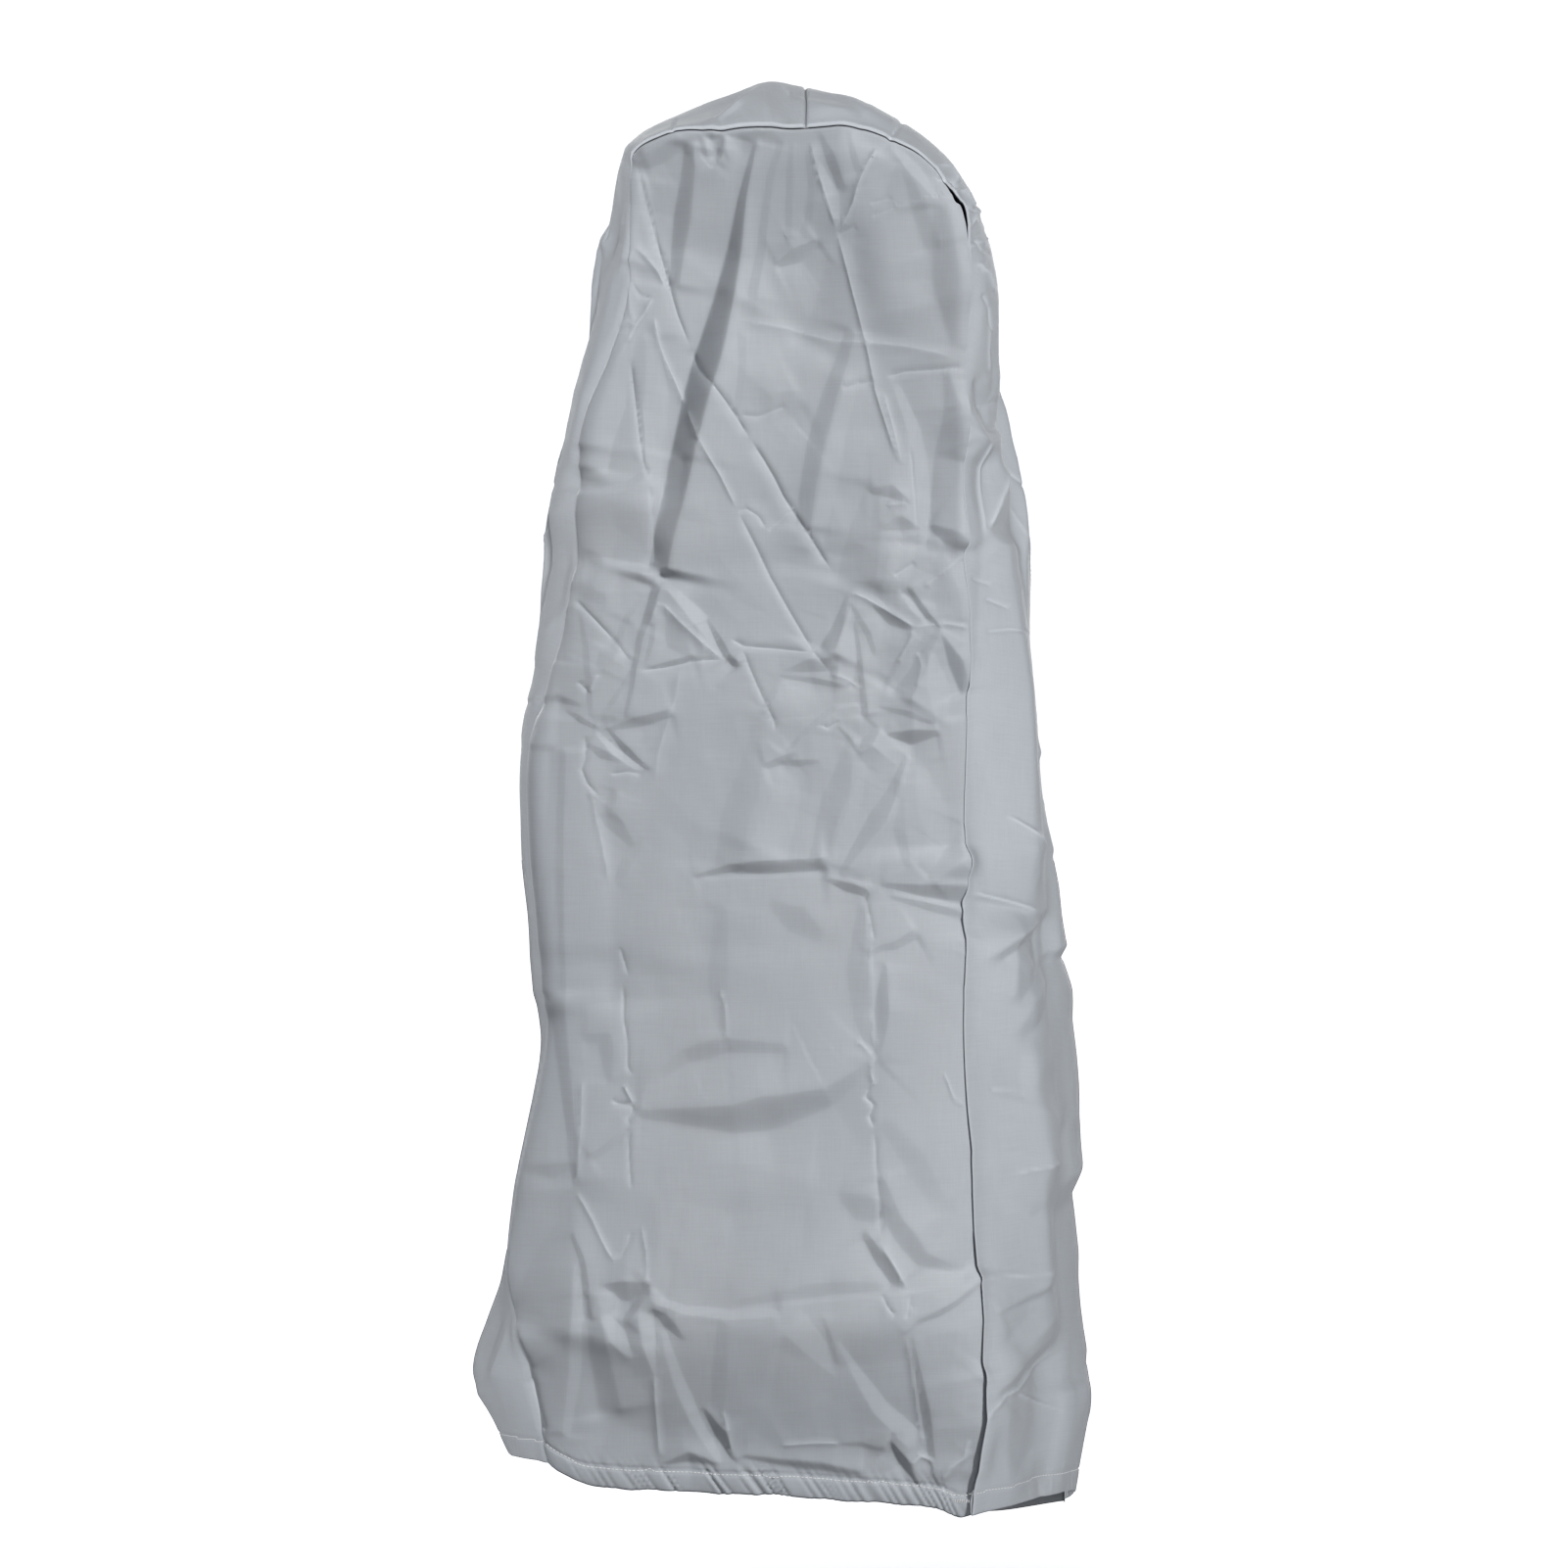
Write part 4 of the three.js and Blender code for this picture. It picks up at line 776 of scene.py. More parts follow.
def panel_grid(seam, hem_rows, y, crown, outward, along, up):
    """A panel spread between its side seams, its top seam and its hem, and arched outward below its top."""
    left, right, top = [seam(place) for place in seam_places(up, along)]
    a, u = along[..., None], up[..., None]
    low, high = [blend(seam(start), seam(end), a) for start, end in ((0.0, END), (LEFT_CORNER, RIGHT_CORNER))]
    points = blend(left, right, a) + blend(hem_line(hem_rows, y, along), top, u) - blend(low, high, u)
    calm = 1 - near(reach_from(points, points[-1:]), SEAM_CALM)
    across = np.clip(np.sin(np.pi * along), 0, 1) ** CROWN_SQUARENESS
    points[..., 1] += outward * crown(down_of(points)) * across * calm
    return points


def front_grid():
    """The front panel's grid, with its points drawn to the creases except near the seams and the hem."""
    form = (front_seam, FRONT_HEM, -half(0.0), front_crown, -1)
    along, up = np.meshgrid(ALONGS, UPS)
    x, down = seen_from_front(panel_grid(*form, along, up))
    width = x[:, -1:] - x[:, :1]
    height = down[:1] - down[-1:]
    new_x, new_down = drawn_to_lines(x, down)
    from_rims = np.minimum.reduce([x - x[:, :1], x[:, -1:] - x, down[:1] - down, down - down[-1:]])
    share = smoothstep(from_rims, DRAW_RIM / 2, DRAW_RIM)
    share = share * smoothstep(down[:1] - down, DRAW_RIM, 2 * DRAW_RIM)
    return panel_grid(*form, along + share * (new_x - x) / width, up - share * (new_down - down) / height)


def gusset_surface(place, across):
    """The gusset's own form: across runs from 0 at the front seam to 1 at the back seam."""
    front, back = front_seam(place), back_seam(place)
    edge = cloth(edge_x(place), edge_y(place), edge_down(place))
    sides = smoothstep(seam_down(place), 0, TENT_DEPTH)
    roundness = blend(RIDGE_ROUNDNESS_AT_TOP, RIDGE_ROUNDNESS_AT_SIDES, sides)[..., None]
    t = across[..., None]
    tent = np.where(t < 0.5, blend(front, edge, 2 * t), blend(edge, back, 2 * t - 1))
    bulge = front * (1 - t) * (1 - 2 * t) + edge * 4 * t * (1 - t) + back * t * (2 * t - 1)
    return blend(tent, bulge, roundness)


def halved(values):
    """Every second value along the stations, with the values between on the straight lines that join them."""
    values = values.copy()
    values[1:-1:2] = (values[:-2:2] + values[2::2]) / 2
    return values


def gusset_grid():
    across, place = np.meshgrid(ACROSS, STATIONS)
    points = gusset_surface(place, across)
    shift = halved(points[:, -1]) - points[:, -1]
    return points + shift[:, None] * near(reach_from(points, points[:, -1:]), SEAM_CALM)[..., None]


def rim_of(grid):
    """The rim of a panel's grid in the order of the stations."""
    return np.concatenate([grid[:, 0], grid[-1, 1:], grid[::-1][1:, -1]])


def seen_from_front(points):
    """Where points are seen on the plane of the front seams: x and down."""
    scale = (VIEW_DISTANCE + VIEW_PLANE_Y) / (VIEW_DISTANCE + points[..., 1])
    return VIEW_X + (points[..., 0] - VIEW_X) * scale, VIEW_DOWN + (down_of(points) - VIEW_DOWN) * scale


def unseen_side(points):
    """Where on the front the sides take the folds from that aren't seen from the front."""
    return SIDE_SHIFT_X + SIDE_SPREAD * running_length(points, 1), down_of(points) + SIDE_SHIFT_DOWN


def beside_path(x, down, path, reach):
    """For each point near a path: its distance, positive towards the upper right, how far it lies past the
    path's ends, its place along the path from 0 to 1, and the step to it from the path's nearest point."""
    corners = np.array(path, float)
    low, high = corners.min(axis=0) - reach, corners.max(axis=0) + reach
    near_path = np.nonzero((x > low[0]) & (x < high[0]) & (down > low[1]) & (down < high[1]))
    points = np.stack([x[near_path], down[near_path]])
    lengths = running_length(corners)
    runs = np.diff(corners, axis=0)
    nearest = np.full(points.shape[1], np.inf)
    side, along, step = np.zeros_like(nearest), np.zeros_like(nearest), np.zeros_like(points)
    for k, length in enumerate(np.linalg.norm(runs, axis=-1)):
        run_x, run_d = runs[k]
        off_x, off_d = points - corners[k][:, None]
        t = np.clip((off_x * run_x + off_d * run_d) / length**2, 0, 1)
        from_path = np.stack([off_x - t * run_x, off_d - t * run_d])
        away = np.hypot(*from_path)
        closer = away < nearest
        step = np.where(closer, from_path, step)
        nearest = np.where(closer, away, nearest)
        side = np.where(closer, (off_x * run_d - off_d * run_x) / length, side)
        along = np.where(closer, (lengths[k] + t * length) / lengths[-1], along)
    at_end = (along <= 0) | (along >= 1)
    across = np.where(at_end, side, np.sign(side) * nearest)
    past = np.where(at_end, np.sqrt(np.maximum(nearest**2 - side**2, 0)), 0)
    return near_path, across, past, along, step


def drawn_to_lines(x, down):
    """Where points go when they gather along the creases and the edges of the folds, so that both stay crisp.
    Each point goes towards its nearest line alone, so none passes another."""
    move = np.zeros((2,) + x.shape)
    nearest = np.full(x.shape, DRAW_REACH)
    lines = [((0.0, 0.0, 0.0), path) for _, _, _, path in CREASES]
    lines += [(halves, path) for _, _, halves, path in FOLDS if max(halves) < DRAW_WIDEST]
    for halves, path in lines:
        near_path, across, past, along, step = beside_path(x, down, path, max(halves) + DRAW_REACH)
        away = np.maximum(np.hypot(across, past), DRAW_LEAST)
        beyond = away - np.interp(along, LINE_SHARES, halves)
        distance = np.abs(beyond)
        closer = distance < nearest[near_path]
        share = np.clip(1 - past / DRAW_REACH, 0, 1)
        pull = beyond * ((distance / DRAW_REACH) ** (DRAW_CURVE - 1) - 1) * share
        for axis in (0, 1):
            move[axis][near_path] = np.where(closer, step[axis] / away * pull, move[axis][near_path])
        nearest[near_path] = np.where(closer, distance, nearest[near_path])
    return x + move[0], down + move[1]


def creased(x, down, end_share, widening=1.0):
    """The height of all folds and creases at points seen from the front, and the wear and painted highlight
    along the creases.
    A fold rises evenly from one edge to the other and falls away slowly beyond them. A crease falls away
    like a tent on both sides."""
    height, wear_and_highlight = np.zeros(x.shape), np.zeros(x.shape)
    for rise, upper_right, lower_left, path in CREASES:
        reach = CREASE_REACH * widening
        near_path, across, past, along, _ = beside_path(x, down, path, reach * max(upper_right, lower_left))
        away = np.hypot(across, past)
        width = reach * np.where(across > 0, upper_right, lower_left)
        lift = smoothstep(along, 0, CREASE_FADE) * smoothstep(1 - along, 0, CREASE_FADE)
        rounded = np.hypot(away, CREASE_TIP) - CREASE_TIP
        height[near_path] += rise * lift * np.clip(1 - rounded / width, 0, 1) ** CREASE_CURVE
        # A pale line along the crease, for wear and as a painted highlight
        worn_and_highlit = min(1.0, abs(rise) / WEAR_AND_HIGHLIGHT_FULL_RISE) * lift * near(away, WEAR_AND_HIGHLIGHT_WIDTH * widening)
        wear_and_highlight[near_path] = np.maximum(wear_and_highlight[near_path], worn_and_highlit)
    for lean, edge, halves, path in FOLDS:
        tail = FOLD_TAIL * max(halves) + FOLD_TAIL_LEAST
        near_path, across, past, along, _ = beside_path(x, down, path, max(halves) + tail)
        half_width = np.interp(along, LINE_SHARES, halves)
        climb = np.hypot(across + half_width, edge) - np.hypot(across - half_width, edge)
        outside = np.abs(across) - half_width
        outside = (np.hypot(outside, edge) + outside) / 2
        end = near(past, end_share * half_width + FOLD_END_LEAST)
        height[near_path] -= LEAN_SCALE * lean / 2 * climb * np.clip(1 - outside / tail, 0, 1) ** 2 * end
    return height, wear_and_highlight


def lattice_cells(a, b, seed):
    """The cells of a random lattice that points fall in: heights at their corners, and places inside them."""
    lattice = np.random.RandomState(seed).uniform(-1, 1, (LATTICE, LATTICE))
    i, j = np.floor(a).astype(int), np.floor(b).astype(int)
    corners = [[lattice[(i + right) % LATTICE, (j + up) % LATTICE] for up in (0, 1)] for right in (0, 1)]
    return corners, a - i, b - j


def value_noise(u, v, size, seed):
    """Smooth random height between -1 and 1 over a plane, with bumps of the given size."""
    (left, right), fa, fb = lattice_cells(u / size, v / size, seed)
    low, high = [blend(left[k], right[k], smoothstep(fa, 0, 1)) for k in (0, 1)]
    return blend(low, high, smoothstep(fb, 0, 1))


def facet_noise(u, v, size, seed):
    """Random height between -1 and 1 over a plane, in flat facets that meet at crisp edges."""
    warp_u, warp_v = [FACET_WARP * value_noise(u, v, FACET_WARP_SIZE * size, seed + k) for k in (1, 2)]
    (left, right), fa, fb = lattice_cells(u / size + warp_u, v / size + warp_v, seed)
    more, less = np.maximum(fa, fb), np.minimum(fa, fb)
    return left[0] * (1 - more) + np.where(fa > fb, right[0], left[1]) * (more - less) + right[1] * less


def crumples(x, down, seed):
    """Flat facets all over the cloth, as packing and handling leave them, more where it is crumpled."""
    patches = value_noise(x, down, CRUMPLE_PATCH_SIZE, seed + PATCH_SEED_STEP)
    patches = smoothstep(patches, *CRUMPLE_PATCH_RANGE)
    share = read_off(CRUMPLE_SHARES, down) * blend(1.0, patches, CRUMPLE_PATCH_SHARE)
    height = np.zeros(x.shape)
    for k, (size, rise, turn) in enumerate(CRUMPLES):
        along = x * math.cos(turn) + down * math.sin(turn)
        across = down * math.cos(turn) - x * math.sin(turn)
        height += rise * facet_noise(along, across / CRUMPLE_STRETCH, size, seed + LAYER_SEED_STEP * k)
    return height * share


def unevenness(u, v, seed):
    layers = enumerate(UNEVENNESS)
    return sum(rise * value_noise(u, v / stretch, size, seed + k) for k, (size, rise, stretch) in layers)


def gather_noise(along, height, stretch, size, seed):
    return value_noise(along, height / stretch, size, seed)


def gather_height(along, height, share):
    """The slanting gathers of the casing, which fade out above its stitches."""
    slanted = along + GATHER_SLANT * height
    wander = GATHER_WANDER * gather_noise(slanted, height, *GATHER_PLACE_NOISE)
    strength = smoothstep(gather_noise(slanted, height, *GATHER_STRENGTH_NOISE), *GATHER_STRENGTHS)
    wave = np.sin(2 * np.pi * slanted / GATHER_PITCH + wander)
    wave = (wave - GATHER_SHARPNESS * np.abs(wave)) * strength * read_off(GATHER_PLACES, along)
    above = np.clip(height - HEM_HEIGHT, 0, None)
    return share * GATHER_RISE * wave * np.exp(-above / GATHER_REACH)


def edge_wave(along, height, share):
    """How far the hem's edge rises and falls where the elastic gathers it."""
    wave = value_noise(along, np.zeros(along.shape), EDGE_WAVE_SIZE, EDGE_WAVE_SEED)
    return share * EDGE_WAVE * read_off(GATHER_PLACES, along) * wave * np.exp(-height / HEM_HEIGHT)


def casing_height(height, share, calm):
    inside = np.clip(height / HEM_HEIGHT, 0, 1)
    puff = CASING_PUFF * share * np.sin(np.pi * inside) ** CASING_ROUNDNESS
    turned_in = CASING_LEAN * calm * (HEM_HEIGHT - np.clip(height, 0, HEM_HEIGHT))
    return puff - turned_in - STITCH_GROOVE_DEPTH * near(height - HEM_HEIGHT, STITCH_GROOVE_WIDTH)


def top_share(place):
    """1 along the top seam, 0 along the side seams."""
    from_left = smoothstep(place, LEFT_CORNER - TOP_FADE_LEFT, LEFT_CORNER)
    return from_left * (1 - smoothstep(place, RIGHT_CORNER, RIGHT_CORNER + TOP_FADE_RIGHT))


def seam_groove(place, away):
    """How deep the sheets draw in beside a seam."""
    return blend(read_off(SIDE_GROOVES, place), TOP_GROOVE, top_share(place)) * near(away, GROOVE_WIDTH)


def seam_slot(place, front):
    """Half the width of the dark slot between the sheets at a seam. The front seam opens in two places."""
    gape = GAPE_SLOT * near(place - RIGHT_CORNER - GAPE_PLACE, GAPE_LENGTH)
    slit = HEM_SLIT * near(END - place - HEM_SLIT_PLACE, HEM_SLIT_LENGTH)
    return blend(SIDE_SLOT, TOP_SLOT, top_share(place)) + (gape + slit if front else 0)


def beside_seams(points, normals, rims):
    """What the seams do to a sheet: the way its points rise, how calm it lies, how deep it draws in and how
    far it moves aside. Each rim gives its points, the way into the sheet, the way its seam rises, its places
    on the seam and whether that is the front seam."""
    calm, groove, aside = 1.0, 0.0, 0.0
    for rim, inward, rise, places, front in rims:
        away = reach_from(points, rim)
        normals = blend(normals, rise, near(away, SEAM_TURN)[..., None])
        calm = calm * (1 - near(away, SEAM_CALM))
        groove = np.maximum(groove, seam_groove(places, away))
        aside = aside + inward * (seam_slot(places, front) * near(away, SLOT_REACH))[..., None]
    return unit(normals), calm, groove, aside


def panel_relief(points, normals, rises, ups, alongs, seen_height, front, seed):
    """Moves a panel's points along their normals, which turn into the seam's own direction at the seams."""
    left, right, top = seam_places(ups[:, None], alongs[None])
    last = len(ups) - 1
    rims = [
        (points[:, :1], points[:, 1:2], rises[:last + 1, None], left),
        (points[:, -1:], points[:, -2:-1], rises[::-1][:last + 1, None], right),
        (points[-1:], points[-2:-1], rises[None, last:last + len(alongs)], top),
    ]
    rims = [(rim, unit(inside - rim), rise, places, front) for rim, inside, rise, places in rims]
    direction, calm, groove, aside = beside_seams(points, normals, rims)
    along, above_hem = running_length(points, 1), running_length(points)
    x, down = points[..., 0], down_of(points)
    gathers = 1.0 if front else FLAT_HEM_SHARE
    height = seen_height if front else BACK_FOLD_SHARE * seen_height * calm
    height = height + (unevenness(x, down, seed) + crumples(x, down, seed)) * calm - groove
    height += casing_height(above_hem, gathers, gathers * calm) + gather_height(along, above_hem, gathers)
    aside[..., 2] += edge_wave(along, above_hem, gathers) * calm
    return points + direction * height[..., None] + aside


def gusset_folds(points, normals):
    """The height, and the wear and painted highlight, of the gusset's folds: those seen from the front on the
    part that faces there, and another part of the front's behind it."""
    facing = 1 - smoothstep(points[..., 1], *FACING_FADE)
    by_front, by_back = [near(reach_from(points, points[:, [rim]]), SEAM_CALM) for rim in (0, -1)]
    slanted = 1 / np.clip(-normals[..., 1], SLANT_LEAST, 1) - 1
    seen_share = np.maximum(facing, by_front) * (1 + slanted * (1 - by_front))
    side_share = (1 - facing) * (1 - by_front) * (1 - by_back)
    seam_height, wear_and_highlight = creased(*seen_from_front(points), PANEL_END_SHARE)
    height, _ = creased(*seen_from_front(points), GUSSET_END_SHARE)
    side_height, side_wear_and_highlight = creased(*unseen_side(points), GUSSET_END_SHARE)
    height = blend(height, seam_height, by_front) * seen_share + side_height * side_share
    return height, wear_and_highlight * seen_share + side_wear_and_highlight * side_share


def gusset_relief(points, normals, front_rises, back_rises, seen_height):
    """The same for the gusset, which also has the middle seam and a rolled rim along the top."""
    place = STATIONS[:, None]
    rims = []
    for rim, inside, rises, front in ((0, 2, front_rises, True), (-1, -3, back_rises, False)):
        inward = unit((points[:, inside] - points[:, rim]) * SEEN_PLANE)
        rims.append((points[:, [rim]], inward[:, None], rises[:, None], place, front))
    direction, calm, groove, aside = beside_seams(points, normals, rims)
    from_front = reach_from(points, points[:, :1])
    from_middle = reach_from(points, points[[TOP_MIDDLE]])
    roll = top_share(place) * near(from_front - ROLL_PLACE, ROLL_WIDTH)
    roll += MIDDLE_ROLL_SHARE * near(from_middle - ROLL_PLACE, ROLL_WIDTH) * calm
    along, around = running_length(points, 1), running_length(points)
    above_hem = np.minimum(around, around[-1:] - around)
    height = seen_height + ROLL_RISE * roll - groove - TOP_GROOVE * near(from_middle, GROOVE_WIDTH)
    bumps = unevenness(along, around, GUSSET_BUMP_SEED)
    height += (bumps + crumples(along + points[..., 0], down_of(points), GUSSET_FACET_SEED)) * calm
    height += casing_height(above_hem, FLAT_HEM_SHARE, FLAT_HEM_SHARE * calm)
    height += gather_height(along, above_hem, FLAT_HEM_SHARE)
    return points + direction * height[..., None] + aside


def with_allowances(points, normals, wear_and_highlight, left, right, top):
    """Adds narrow strips that turn inward at the seams. left, right and top are the ways out of the cover."""
    def strip(rim, inside, out, gap=ALLOWANCE_GAP):
        return [rim + unit(inside - rim) * gap - out * step for step in SEAM_ALLOWANCE_STEPS]

    count = len(SEAM_ALLOWANCE_STEPS)
    first = np.stack(strip(points[:, 0], points[:, 1], left)[::-1], axis=1)
    last = np.stack(strip(points[:, -1], points[:, -2], right), axis=1)
    tops = np.pad(np.broadcast_to(top, points[-1].shape), ((count, count), (0, 0)), mode="edge")
    points = np.concatenate([first, points, last], axis=1)
    ways = [np.broadcast_to(out, first.shape) for out in (left, right)]
    normals = np.concatenate([ways[0], normals, ways[1]], axis=1)
    rows = np.stack(strip(points[-1], points[-2], tops, TOP_ALLOWANCE_GAP))
    return np.concatenate([points, rows]), normals, np.pad(wear_and_highlight, ((0, count), (count, count)))


def with_turned_hem(points, normals, wear_and_highlight):
    """Adds the ply that turns in at the bottom edge and goes up behind to the stitches. Row 0 is the edge."""
    height = running_length(points[:, CASING_COLUMN])
    rows = int(np.searchsorted(height, HEM_HEIGHT + CASING_PAST_STITCHES))
    share = np.clip(height[:rows] / HEM_HEIGHT, 0, 1)
    depth = CASING_FOLD + CASING_DEPTH * np.sin(np.pi * share) ** CASING_ROUNDNESS
    inner = points[:rows] - normals[:rows] * depth[:, None, None]
    return np.concatenate([inner[::-1], points]), np.pad(wear_and_highlight, ((rows, 0), (0, 0)))


def add_object(name, data):
    piece = bpy.data.objects.new(name, data)
    bpy.context.scene.collection.objects.link(piece)
    return piece


def sheet_mesh(name, points, wear_and_highlight, material, flip, flat):
    """A mesh over a grid of points, with the weave's coordinates in metres of cloth and the wear and painted
    highlight of creases.
    Each square of the grid is split along the diagonal that its fold follows."""
    index = np.arange(wear_and_highlight.size).reshape(wear_and_highlight.shape)
    quads = np.stack([index[:-1, :-1], index[:-1, 1:], index[1:, 1:], index[1:, :-1]], axis=-1).reshape(-1, 4)
    if flip:
        quads = quads[:, ::-1]
    normals = grid_normals(points).reshape(-1, 3)[quads]
    bends = np.linalg.norm(normals[:, :2] - normals[:, 2:], axis=-1)
    quads = np.where((bends[:, 1] < bends[:, 0])[:, None], np.roll(quads, -1, axis=1), quads)
    corners = np.stack([quads[:, [0, 1, 2]], quads[:, [0, 2, 3]]], axis=1).ravel()
    mesh = bpy.data.meshes.new(name)
    mesh.vertices.add(wear_and_highlight.size)
    mesh.vertices.foreach_set("co", (points * MM).astype(np.float32).ravel())
    mesh.loops.add(corners.size)
    mesh.loops.foreach_set("vertex_index", corners.astype(np.int32))
    mesh.polygons.add(corners.size // 3)
    mesh.polygons.foreach_set("loop_start", np.arange(0, corners.size, 3, dtype=np.int32))
    mesh.update(calc_edges=True)
    mesh.shade_smooth()
    u, v = (points[..., 0], points[..., 2]) if flat else (running_length(points, 1), running_length(points))
    weave = np.stack([u.ravel()[corners], v.ravel()[corners]], axis=-1) * MM
    mesh.uv_layers.new(name="weave").data.foreach_set("uv", weave.astype(np.float32).ravel())
    # The pale line along creases: wear, and a painted highlight
    attribute = mesh.attributes.new("crease_wear_and_highlight", "FLOAT", "POINT")
    attribute.data.foreach_set("value", wear_and_highlight.astype(np.float32).ravel())
    mesh.materials.append(material)
    return add_object(name, mesh)


def stitch(first, last, first_normal, last_normal):
    """The rings of points round a stitch, a short bent tube that dips into the cloth at both ends."""
    share, lift, size = np.array(STITCH_FORM).T[..., None]
    normals = unit(blend(first_normal, last_normal, share))
    line = blend(first, last, share) + normals * lift
    run = unit(np.gradient(line, axis=0))
    out = unit(normals - run * np.sum(normals * run, axis=-1, keepdims=True))
    side = np.cross(run, out)
    angle = (2 * np.pi / THREAD_SIDES * np.arange(THREAD_SIDES))[:, None]
    round_line = out[:, None] * np.cos(angle) + side[:, None] * np.sin(angle)
    return line[:, None] + THREAD_RADIUS * size[..., None] * round_line


def hem_stitches(points, normals):
    """Stitches along the top of a sheet's hem. Row 0 is the edge."""
    heights = running_length(points)
    rows = np.argmin(np.abs(heights - (HEM_HEIGHT - STITCH_DROP)), axis=0)
    columns = np.arange(len(rows))
    line, outs = points[rows, columns], normals[rows, columns]
    length = running_length(line)
    stitches = []
    for place in np.arange(STITCH_PITCH, length[-1] - STITCH_PITCH, STITCH_PITCH):
        ends = (place, place + STITCH_LENGTH)
        spots, ways = [np.stack([np.interp(ends, length, column) for column in values.T], axis=-1)
                       for values in (line, outs)]
        stitches.append(stitch(*spots, *unit(ways)))
    return stitches


def bar_tack(front):
    """A close zigzag on the front panel's cloth."""
    normals = grid_normals(front)
    x, down = seen_from_front(front)
    stitches = []
    for turn in range(TACK_TURNS):
        ends = []
        for side in (0, 1):
            goal_x = TACK_X + TACK_LENGTH * ((turn + side / 2) / TACK_TURNS - 0.5)
            goal_down = TACK_DOWN + TACK_HEIGHT * (side - 0.5)
            spot = np.unravel_index(np.argmin(np.hypot(x - goal_x, down - goal_down)), x.shape)
            shift = np.array([goal_x - x[spot], 0.0, down[spot] - goal_down])
            ends.append((front[spot] + shift - normals[spot] * shift.dot(normals[spot]), normals[spot]))
        (first, first_normal), (second, second_normal) = ends
        stitches.append(stitch(first, second, first_normal, second_normal))
    return stitches


def thread_mesh(name, stitches, material):
    """One mesh of all stitches, each closed at both ends."""
    sides, rings = THREAD_SIDES, len(STITCH_FORM)
    tube = []
    for k in range(0, (rings - 1) * sides, sides):
        for turn in range(sides):
            a, b = k + turn, k + (turn + 1) % sides
            tube.append((a, a + sides, b + sides, b))
    tube += [tuple(range(sides)), tuple(reversed(range((rings - 1) * sides, rings * sides)))]
    starts = range(0, len(stitches) * rings * sides, rings * sides)
    faces = [tuple(start + corner for corner in face) for start in starts for face in tube]
    mesh = bpy.data.meshes.new(name)
    mesh.from_pydata((np.reshape(stitches, (-1, 3)) * MM).tolist(), [], faces)
    mesh.update()
    mesh.shade_smooth()
    mesh.materials.append(material)
    return add_object(name, mesh)


def add_node(tree, kind, values, **settings):
    node = tree.nodes.new(kind)
    for name, value in settings.items():
        setattr(node, name, value)
    for name, value in values.items():
        if hasattr(value, "is_output"):
            tree.links.new(value, node.inputs[name])
        else:
            node.inputs[name].default_value = value
    return node


def math_node(tree, operation, *values):
    return add_node(tree, "ShaderNodeMath", dict(enumerate(values)), operation=operation).outputs[0]


def noise(tree, place, scale, detail):
    values = {"Vector": place, "Scale": scale, "Detail": detail}
    return add_node(tree, "ShaderNodeTexNoise", values).outputs["Fac"]


def stretched(tree, place, scale):
    return add_node(tree, "ShaderNodeMapping", {"Vector": place, "Scale": scale}).outputs[0]


def mapped(tree, value, source, target, **settings):
    ends = dict(zip(("From Min", "From Max", "To Min", "To Max"), source + target))
    return add_node(tree, "ShaderNodeMapRange", {"Value": value, **ends}, **settings).outputs["Result"]


def mixed(tree, share, tints):
    """A colour between two tints."""
    mix = add_node(tree, "ShaderNodeMix", {"Factor": share}, data_type="RGBA")
    for name, tint in zip("AB", tints):
        mix.inputs[name].default_value = (*tint, 1)
    return mix.outputs["Result"]


def add_bump(tree, shader, height, bump):
    strength, distance = bump
    node = add_node(tree, "ShaderNodeBump", {"Height": height, "Strength": strength, "Distance": distance})
    tree.links.new(node.outputs["Normal"], shader.inputs["Normal"])


def new_material(name):
    material = bpy.data.materials.new(name)
    material.use_nodes = True
    return material, material.node_tree, material.node_tree.nodes["Principled BSDF"]


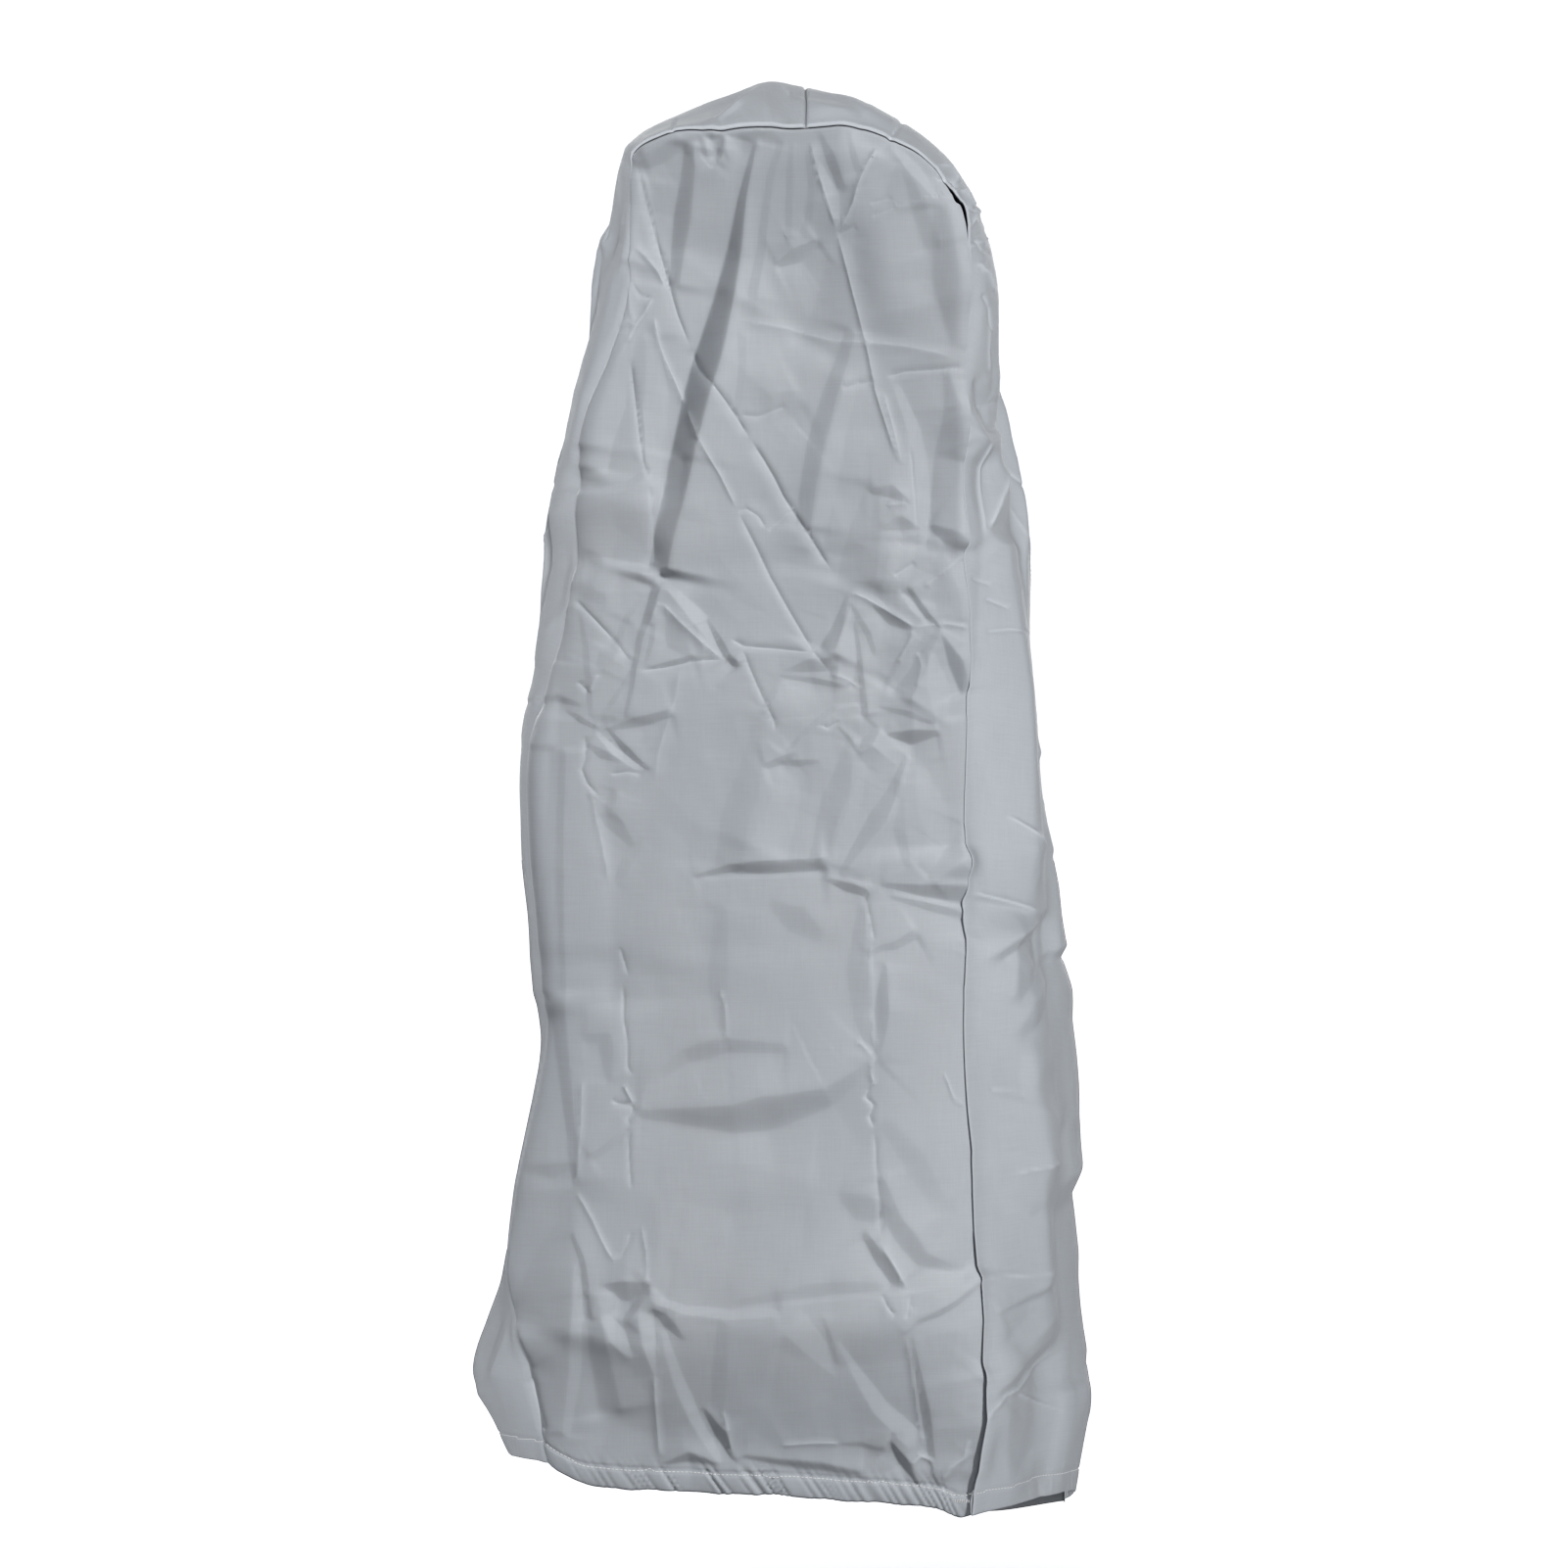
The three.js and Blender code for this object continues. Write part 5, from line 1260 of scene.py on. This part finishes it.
def cloth_material():
    """Grey taffeta: plain weave, slubs, soft mottling, and paler cloth along creases, for wear and as a
    painted highlight.
    """
    material, tree, shader = new_material("grey_taffeta")
    weave = add_node(tree, "ShaderNodeUVMap", {}, uv_map="weave").outputs["UV"]
    place = add_node(tree, "ShaderNodeTexCoord", {}).outputs["Object"]
    wear_and_highlight = add_node(tree, "ShaderNodeAttribute", {}, attribute_name="crease_wear_and_highlight").outputs["Fac"]
    split = add_node(tree, "ShaderNodeSeparateXYZ", {"Vector": weave}).outputs
    turns = [math_node(tree, "MULTIPLY", split[axis], WEAVE_FINENESS) for axis in "XY"]
    warp, weft = [math_node(tree, "SINE", turn) for turn in turns]
    places = [stretched(tree, weave, scale) for scale in (SLUB_SCALE, PICK_SCALE)]
    slubs, picks = [noise(tree, weave_place, 1.0, GRAIN_DETAIL) for weave_place in places]
    grain = math_node(tree, "ADD", slubs, picks)
    clouds = noise(tree, place, CLOUD_SCALE, CLOUD_DETAIL)

    shade = mapped(tree, grain, GRAIN_RANGE, SHADE_RANGE)
    # Paler along creases: wear, and a painted highlight line
    paled_and_highlit = math_node(tree, "MULTIPLY_ADD", wear_and_highlight, CREASE_WEAR_AND_HIGHLIGHT_PALENESS, shade)
    tint = mixed(tree, clouds, CLOTH_TINTS)
    colour = add_node(tree, "ShaderNodeVectorMath", {0: tint, "Scale": paled_and_highlit}, operation="SCALE")
    tree.links.new(colour.outputs["Vector"], shader.inputs["Base Color"])
    rough = mapped(tree, clouds, CLOUD_RANGE, ROUGHNESS_RANGE)
    tree.links.new(math_node(tree, "MULTIPLY_ADD", wear_and_highlight, WEAR_ROUGHNESS, rough), shader.inputs["Roughness"])
    threads = math_node(tree, "MULTIPLY", warp, weft)
    add_bump(tree, shader, math_node(tree, "MULTIPLY_ADD", threads, WEAVE_SHARE, grain), WEAVE_BUMP)
    shader.inputs["Sheen Weight"].default_value = SHEEN
    shader.inputs["Sheen Roughness"].default_value = SHEEN_ROUGHNESS
    shader.inputs["Specular IOR Level"].default_value = SPECULAR
    return material


def thread_material():
    """Pale twisted thread."""
    material, tree, shader = new_material("pale_thread")
    place = add_node(tree, "ShaderNodeTexCoord", {}).outputs["Object"]
    twist = noise(tree, place, THREAD_SCALE, 1.0)
    tree.links.new(mixed(tree, twist, THREAD_TINTS), shader.inputs["Base Color"])
    add_bump(tree, shader, twist, THREAD_BUMP)
    shader.inputs["Roughness"].default_value = THREAD_ROUGHNESS
    return material


def make_sheets():
    """The four sheets: name, node, points, normals out of the cover, wear and painted highlight, the ways out
    of the cover at the left, right and top rims, and whether the faces are turned over."""
    ups, alongs = UPS[::BACK_RATIO], ALONGS[::BACK_RATIO]
    front, gusset = front_grid(), gusset_grid()
    back = panel_grid(back_seam, BACK_HEM, half(0.0), back_crown, 1, *np.meshgrid(alongs, ups))
    front_normals, back_normals = grid_normals(front), -grid_normals(back)
    gusset_normals = -grid_normals(gusset)
    front_rises = unit(rim_of(front_normals) + gusset_normals[:, 0])
    coarse = unit(rim_of(back_normals) + gusset_normals[::BACK_RATIO, -1])
    back_rises = unit(halved(np.repeat(coarse, BACK_RATIO, axis=0)[:len(STATIONS)]))

    height, front_wear_and_highlight = creased(*seen_from_front(front), PANEL_END_SHARE)
    front = panel_relief(front, front_normals, front_rises, UPS, ALONGS, height, True, FRONT_SEED)
    height, gusset_wear_and_highlight = gusset_folds(gusset, gusset_normals)
    gusset = gusset_relief(gusset, gusset_normals, front_rises, back_rises, height)
    mirrored = (BACK_SHIFT_X - back[..., 0], down_of(back) + BACK_SHIFT_DOWN)
    height, back_wear_and_highlight = creased(*mirrored, PANEL_END_SHARE, BACK_WIDENING)
    back_wear_and_highlight = BACK_WEAR_AND_HIGHLIGHT_SHARE * back_wear_and_highlight
    back = panel_relief(back, back_normals, back_rises[::BACK_RATIO], ups, alongs, height, False, BACK_SEED)

    sheets = [
        ("front_panel_cloth", "front_panel", front, grid_normals(front), front_wear_and_highlight, *[FORWARD] * 3, False),
        ("back_panel_cloth", "back_panel", back, -grid_normals(back), back_wear_and_highlight, *[-FORWARD] * 3, True),
    ]
    outward = -grid_normals(gusset)
    middle = outward[TOP_MIDDLE]
    left, right = [(gusset[part], outward[part], gusset_wear_and_highlight[part])
                   for part in (slice(0, TOP_MIDDLE + 1), slice(None, TOP_MIDDLE - 1, -1))]
    sheets.append(("gusset_left_cloth", "gusset_left", *left, FORWARD, -FORWARD, middle, True))
    sheets.append(("gusset_right_cloth", "gusset_right", *right, FORWARD, -FORWARD, middle, False))
    return sheets


def make_cover(material, thread):
    pieces, stitching = [], []
    sheets = make_sheets()
    for name, node, points, normals, wear_and_highlight, left, right, top, flip in sheets:
        stitching += hem_stitches(points, normals)
        points, normals, wear_and_highlight = with_allowances(points, normals, wear_and_highlight, left, right, top)
        points, wear_and_highlight = with_turned_hem(points, normals, wear_and_highlight)
        piece = sheet_mesh(name, points, wear_and_highlight, material, flip, "panel" in name)
        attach(piece, "root")
        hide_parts(node)
        pieces.append(piece)
    stitching += bar_tack(sheets[0][2])
    stitches = thread_mesh("hem_stitches", stitching, thread)
    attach(stitches, "root")
    return pieces, stitches


def add_camera():
    data = bpy.data.cameras.new("camera")
    data.sensor_width = SENSOR
    data.lens = SENSOR * VIEW_DISTANCE / FRAME_HEIGHT
    camera = add_object("camera", data)
    camera.location = (VIEW_X * MM, -VIEW_DISTANCE * MM, (CAD_CLOTH - VIEW_DOWN) * MM)
    camera.rotation_euler = (math.radians(90), 0, 0)
    bpy.context.scene.camera = camera


def add_stage():
    """A wide pale floor that shows only the soft shadow on it."""
    mesh = bpy.data.meshes.new("floor")
    signs = ((-1, -1), (1, -1), (1, 1), (-1, 1))
    corners = [(FLOOR_REACH * x, FLOOR_REACH * y, FLOOR_HEIGHT) for x, y in signs]
    mesh.from_pydata(corners, [], [(0, 1, 2, 3)])
    material, _, shader = new_material("pale_floor")
    shader.inputs["Base Color"].default_value = FLOOR_GREY
    shader.inputs["Roughness"].default_value = FLOOR_ROUGHNESS
    mesh.materials.append(material)
    floor = add_object("floor", mesh)
    floor.is_shadow_catcher = True
    return floor


def add_sky():
    world = bpy.data.worlds.new("studio")
    bpy.context.scene.world = world
    world.use_nodes = True
    tree = world.node_tree
    background = tree.nodes["Background"]
    direction = add_node(tree, "ShaderNodeTexCoord", {}).outputs["Generated"]
    height = add_node(tree, "ShaderNodeSeparateXYZ", {"Vector": direction}).outputs["Z"]
    strength = mapped(tree, height, SKY_EDGE, SKY_STRENGTHS, interpolation_type="SMOOTHSTEP")
    tree.links.new(strength, background.inputs["Strength"])
    background.inputs["Color"].default_value = SKY_COLOUR
    bpy.context.scene.view_settings.view_transform = "Standard"


def add_suns(receivers):
    """The suns, each linked to what it lights, in lists by name."""
    for name, (x, y, z), strength, angle, colour, lit in SUNS:
        data = bpy.data.lights.new(name, "SUN")
        data.energy = strength
        data.angle = math.radians(angle)
        data.color = colour
        data.use_shadow = lit != "floor"
        light = add_object(name, data)
        light.rotation_euler = (math.atan2(math.hypot(x, y), z), 0, math.atan2(x, -y))
        if lit in receivers:
            collection = bpy.data.collections.new("lit_by_the_" + name)
            for item in receivers[lit]:
                collection.objects.link(item)
            light.light_linking.receiver_collection = collection


pieces, stitches = make_cover(cloth_material(), thread_material())
add_camera()
floor = add_stage()
add_sky()
add_suns({"panels": pieces[:2], "gussets": [*pieces[2:], stitches], "floor": [floor]})
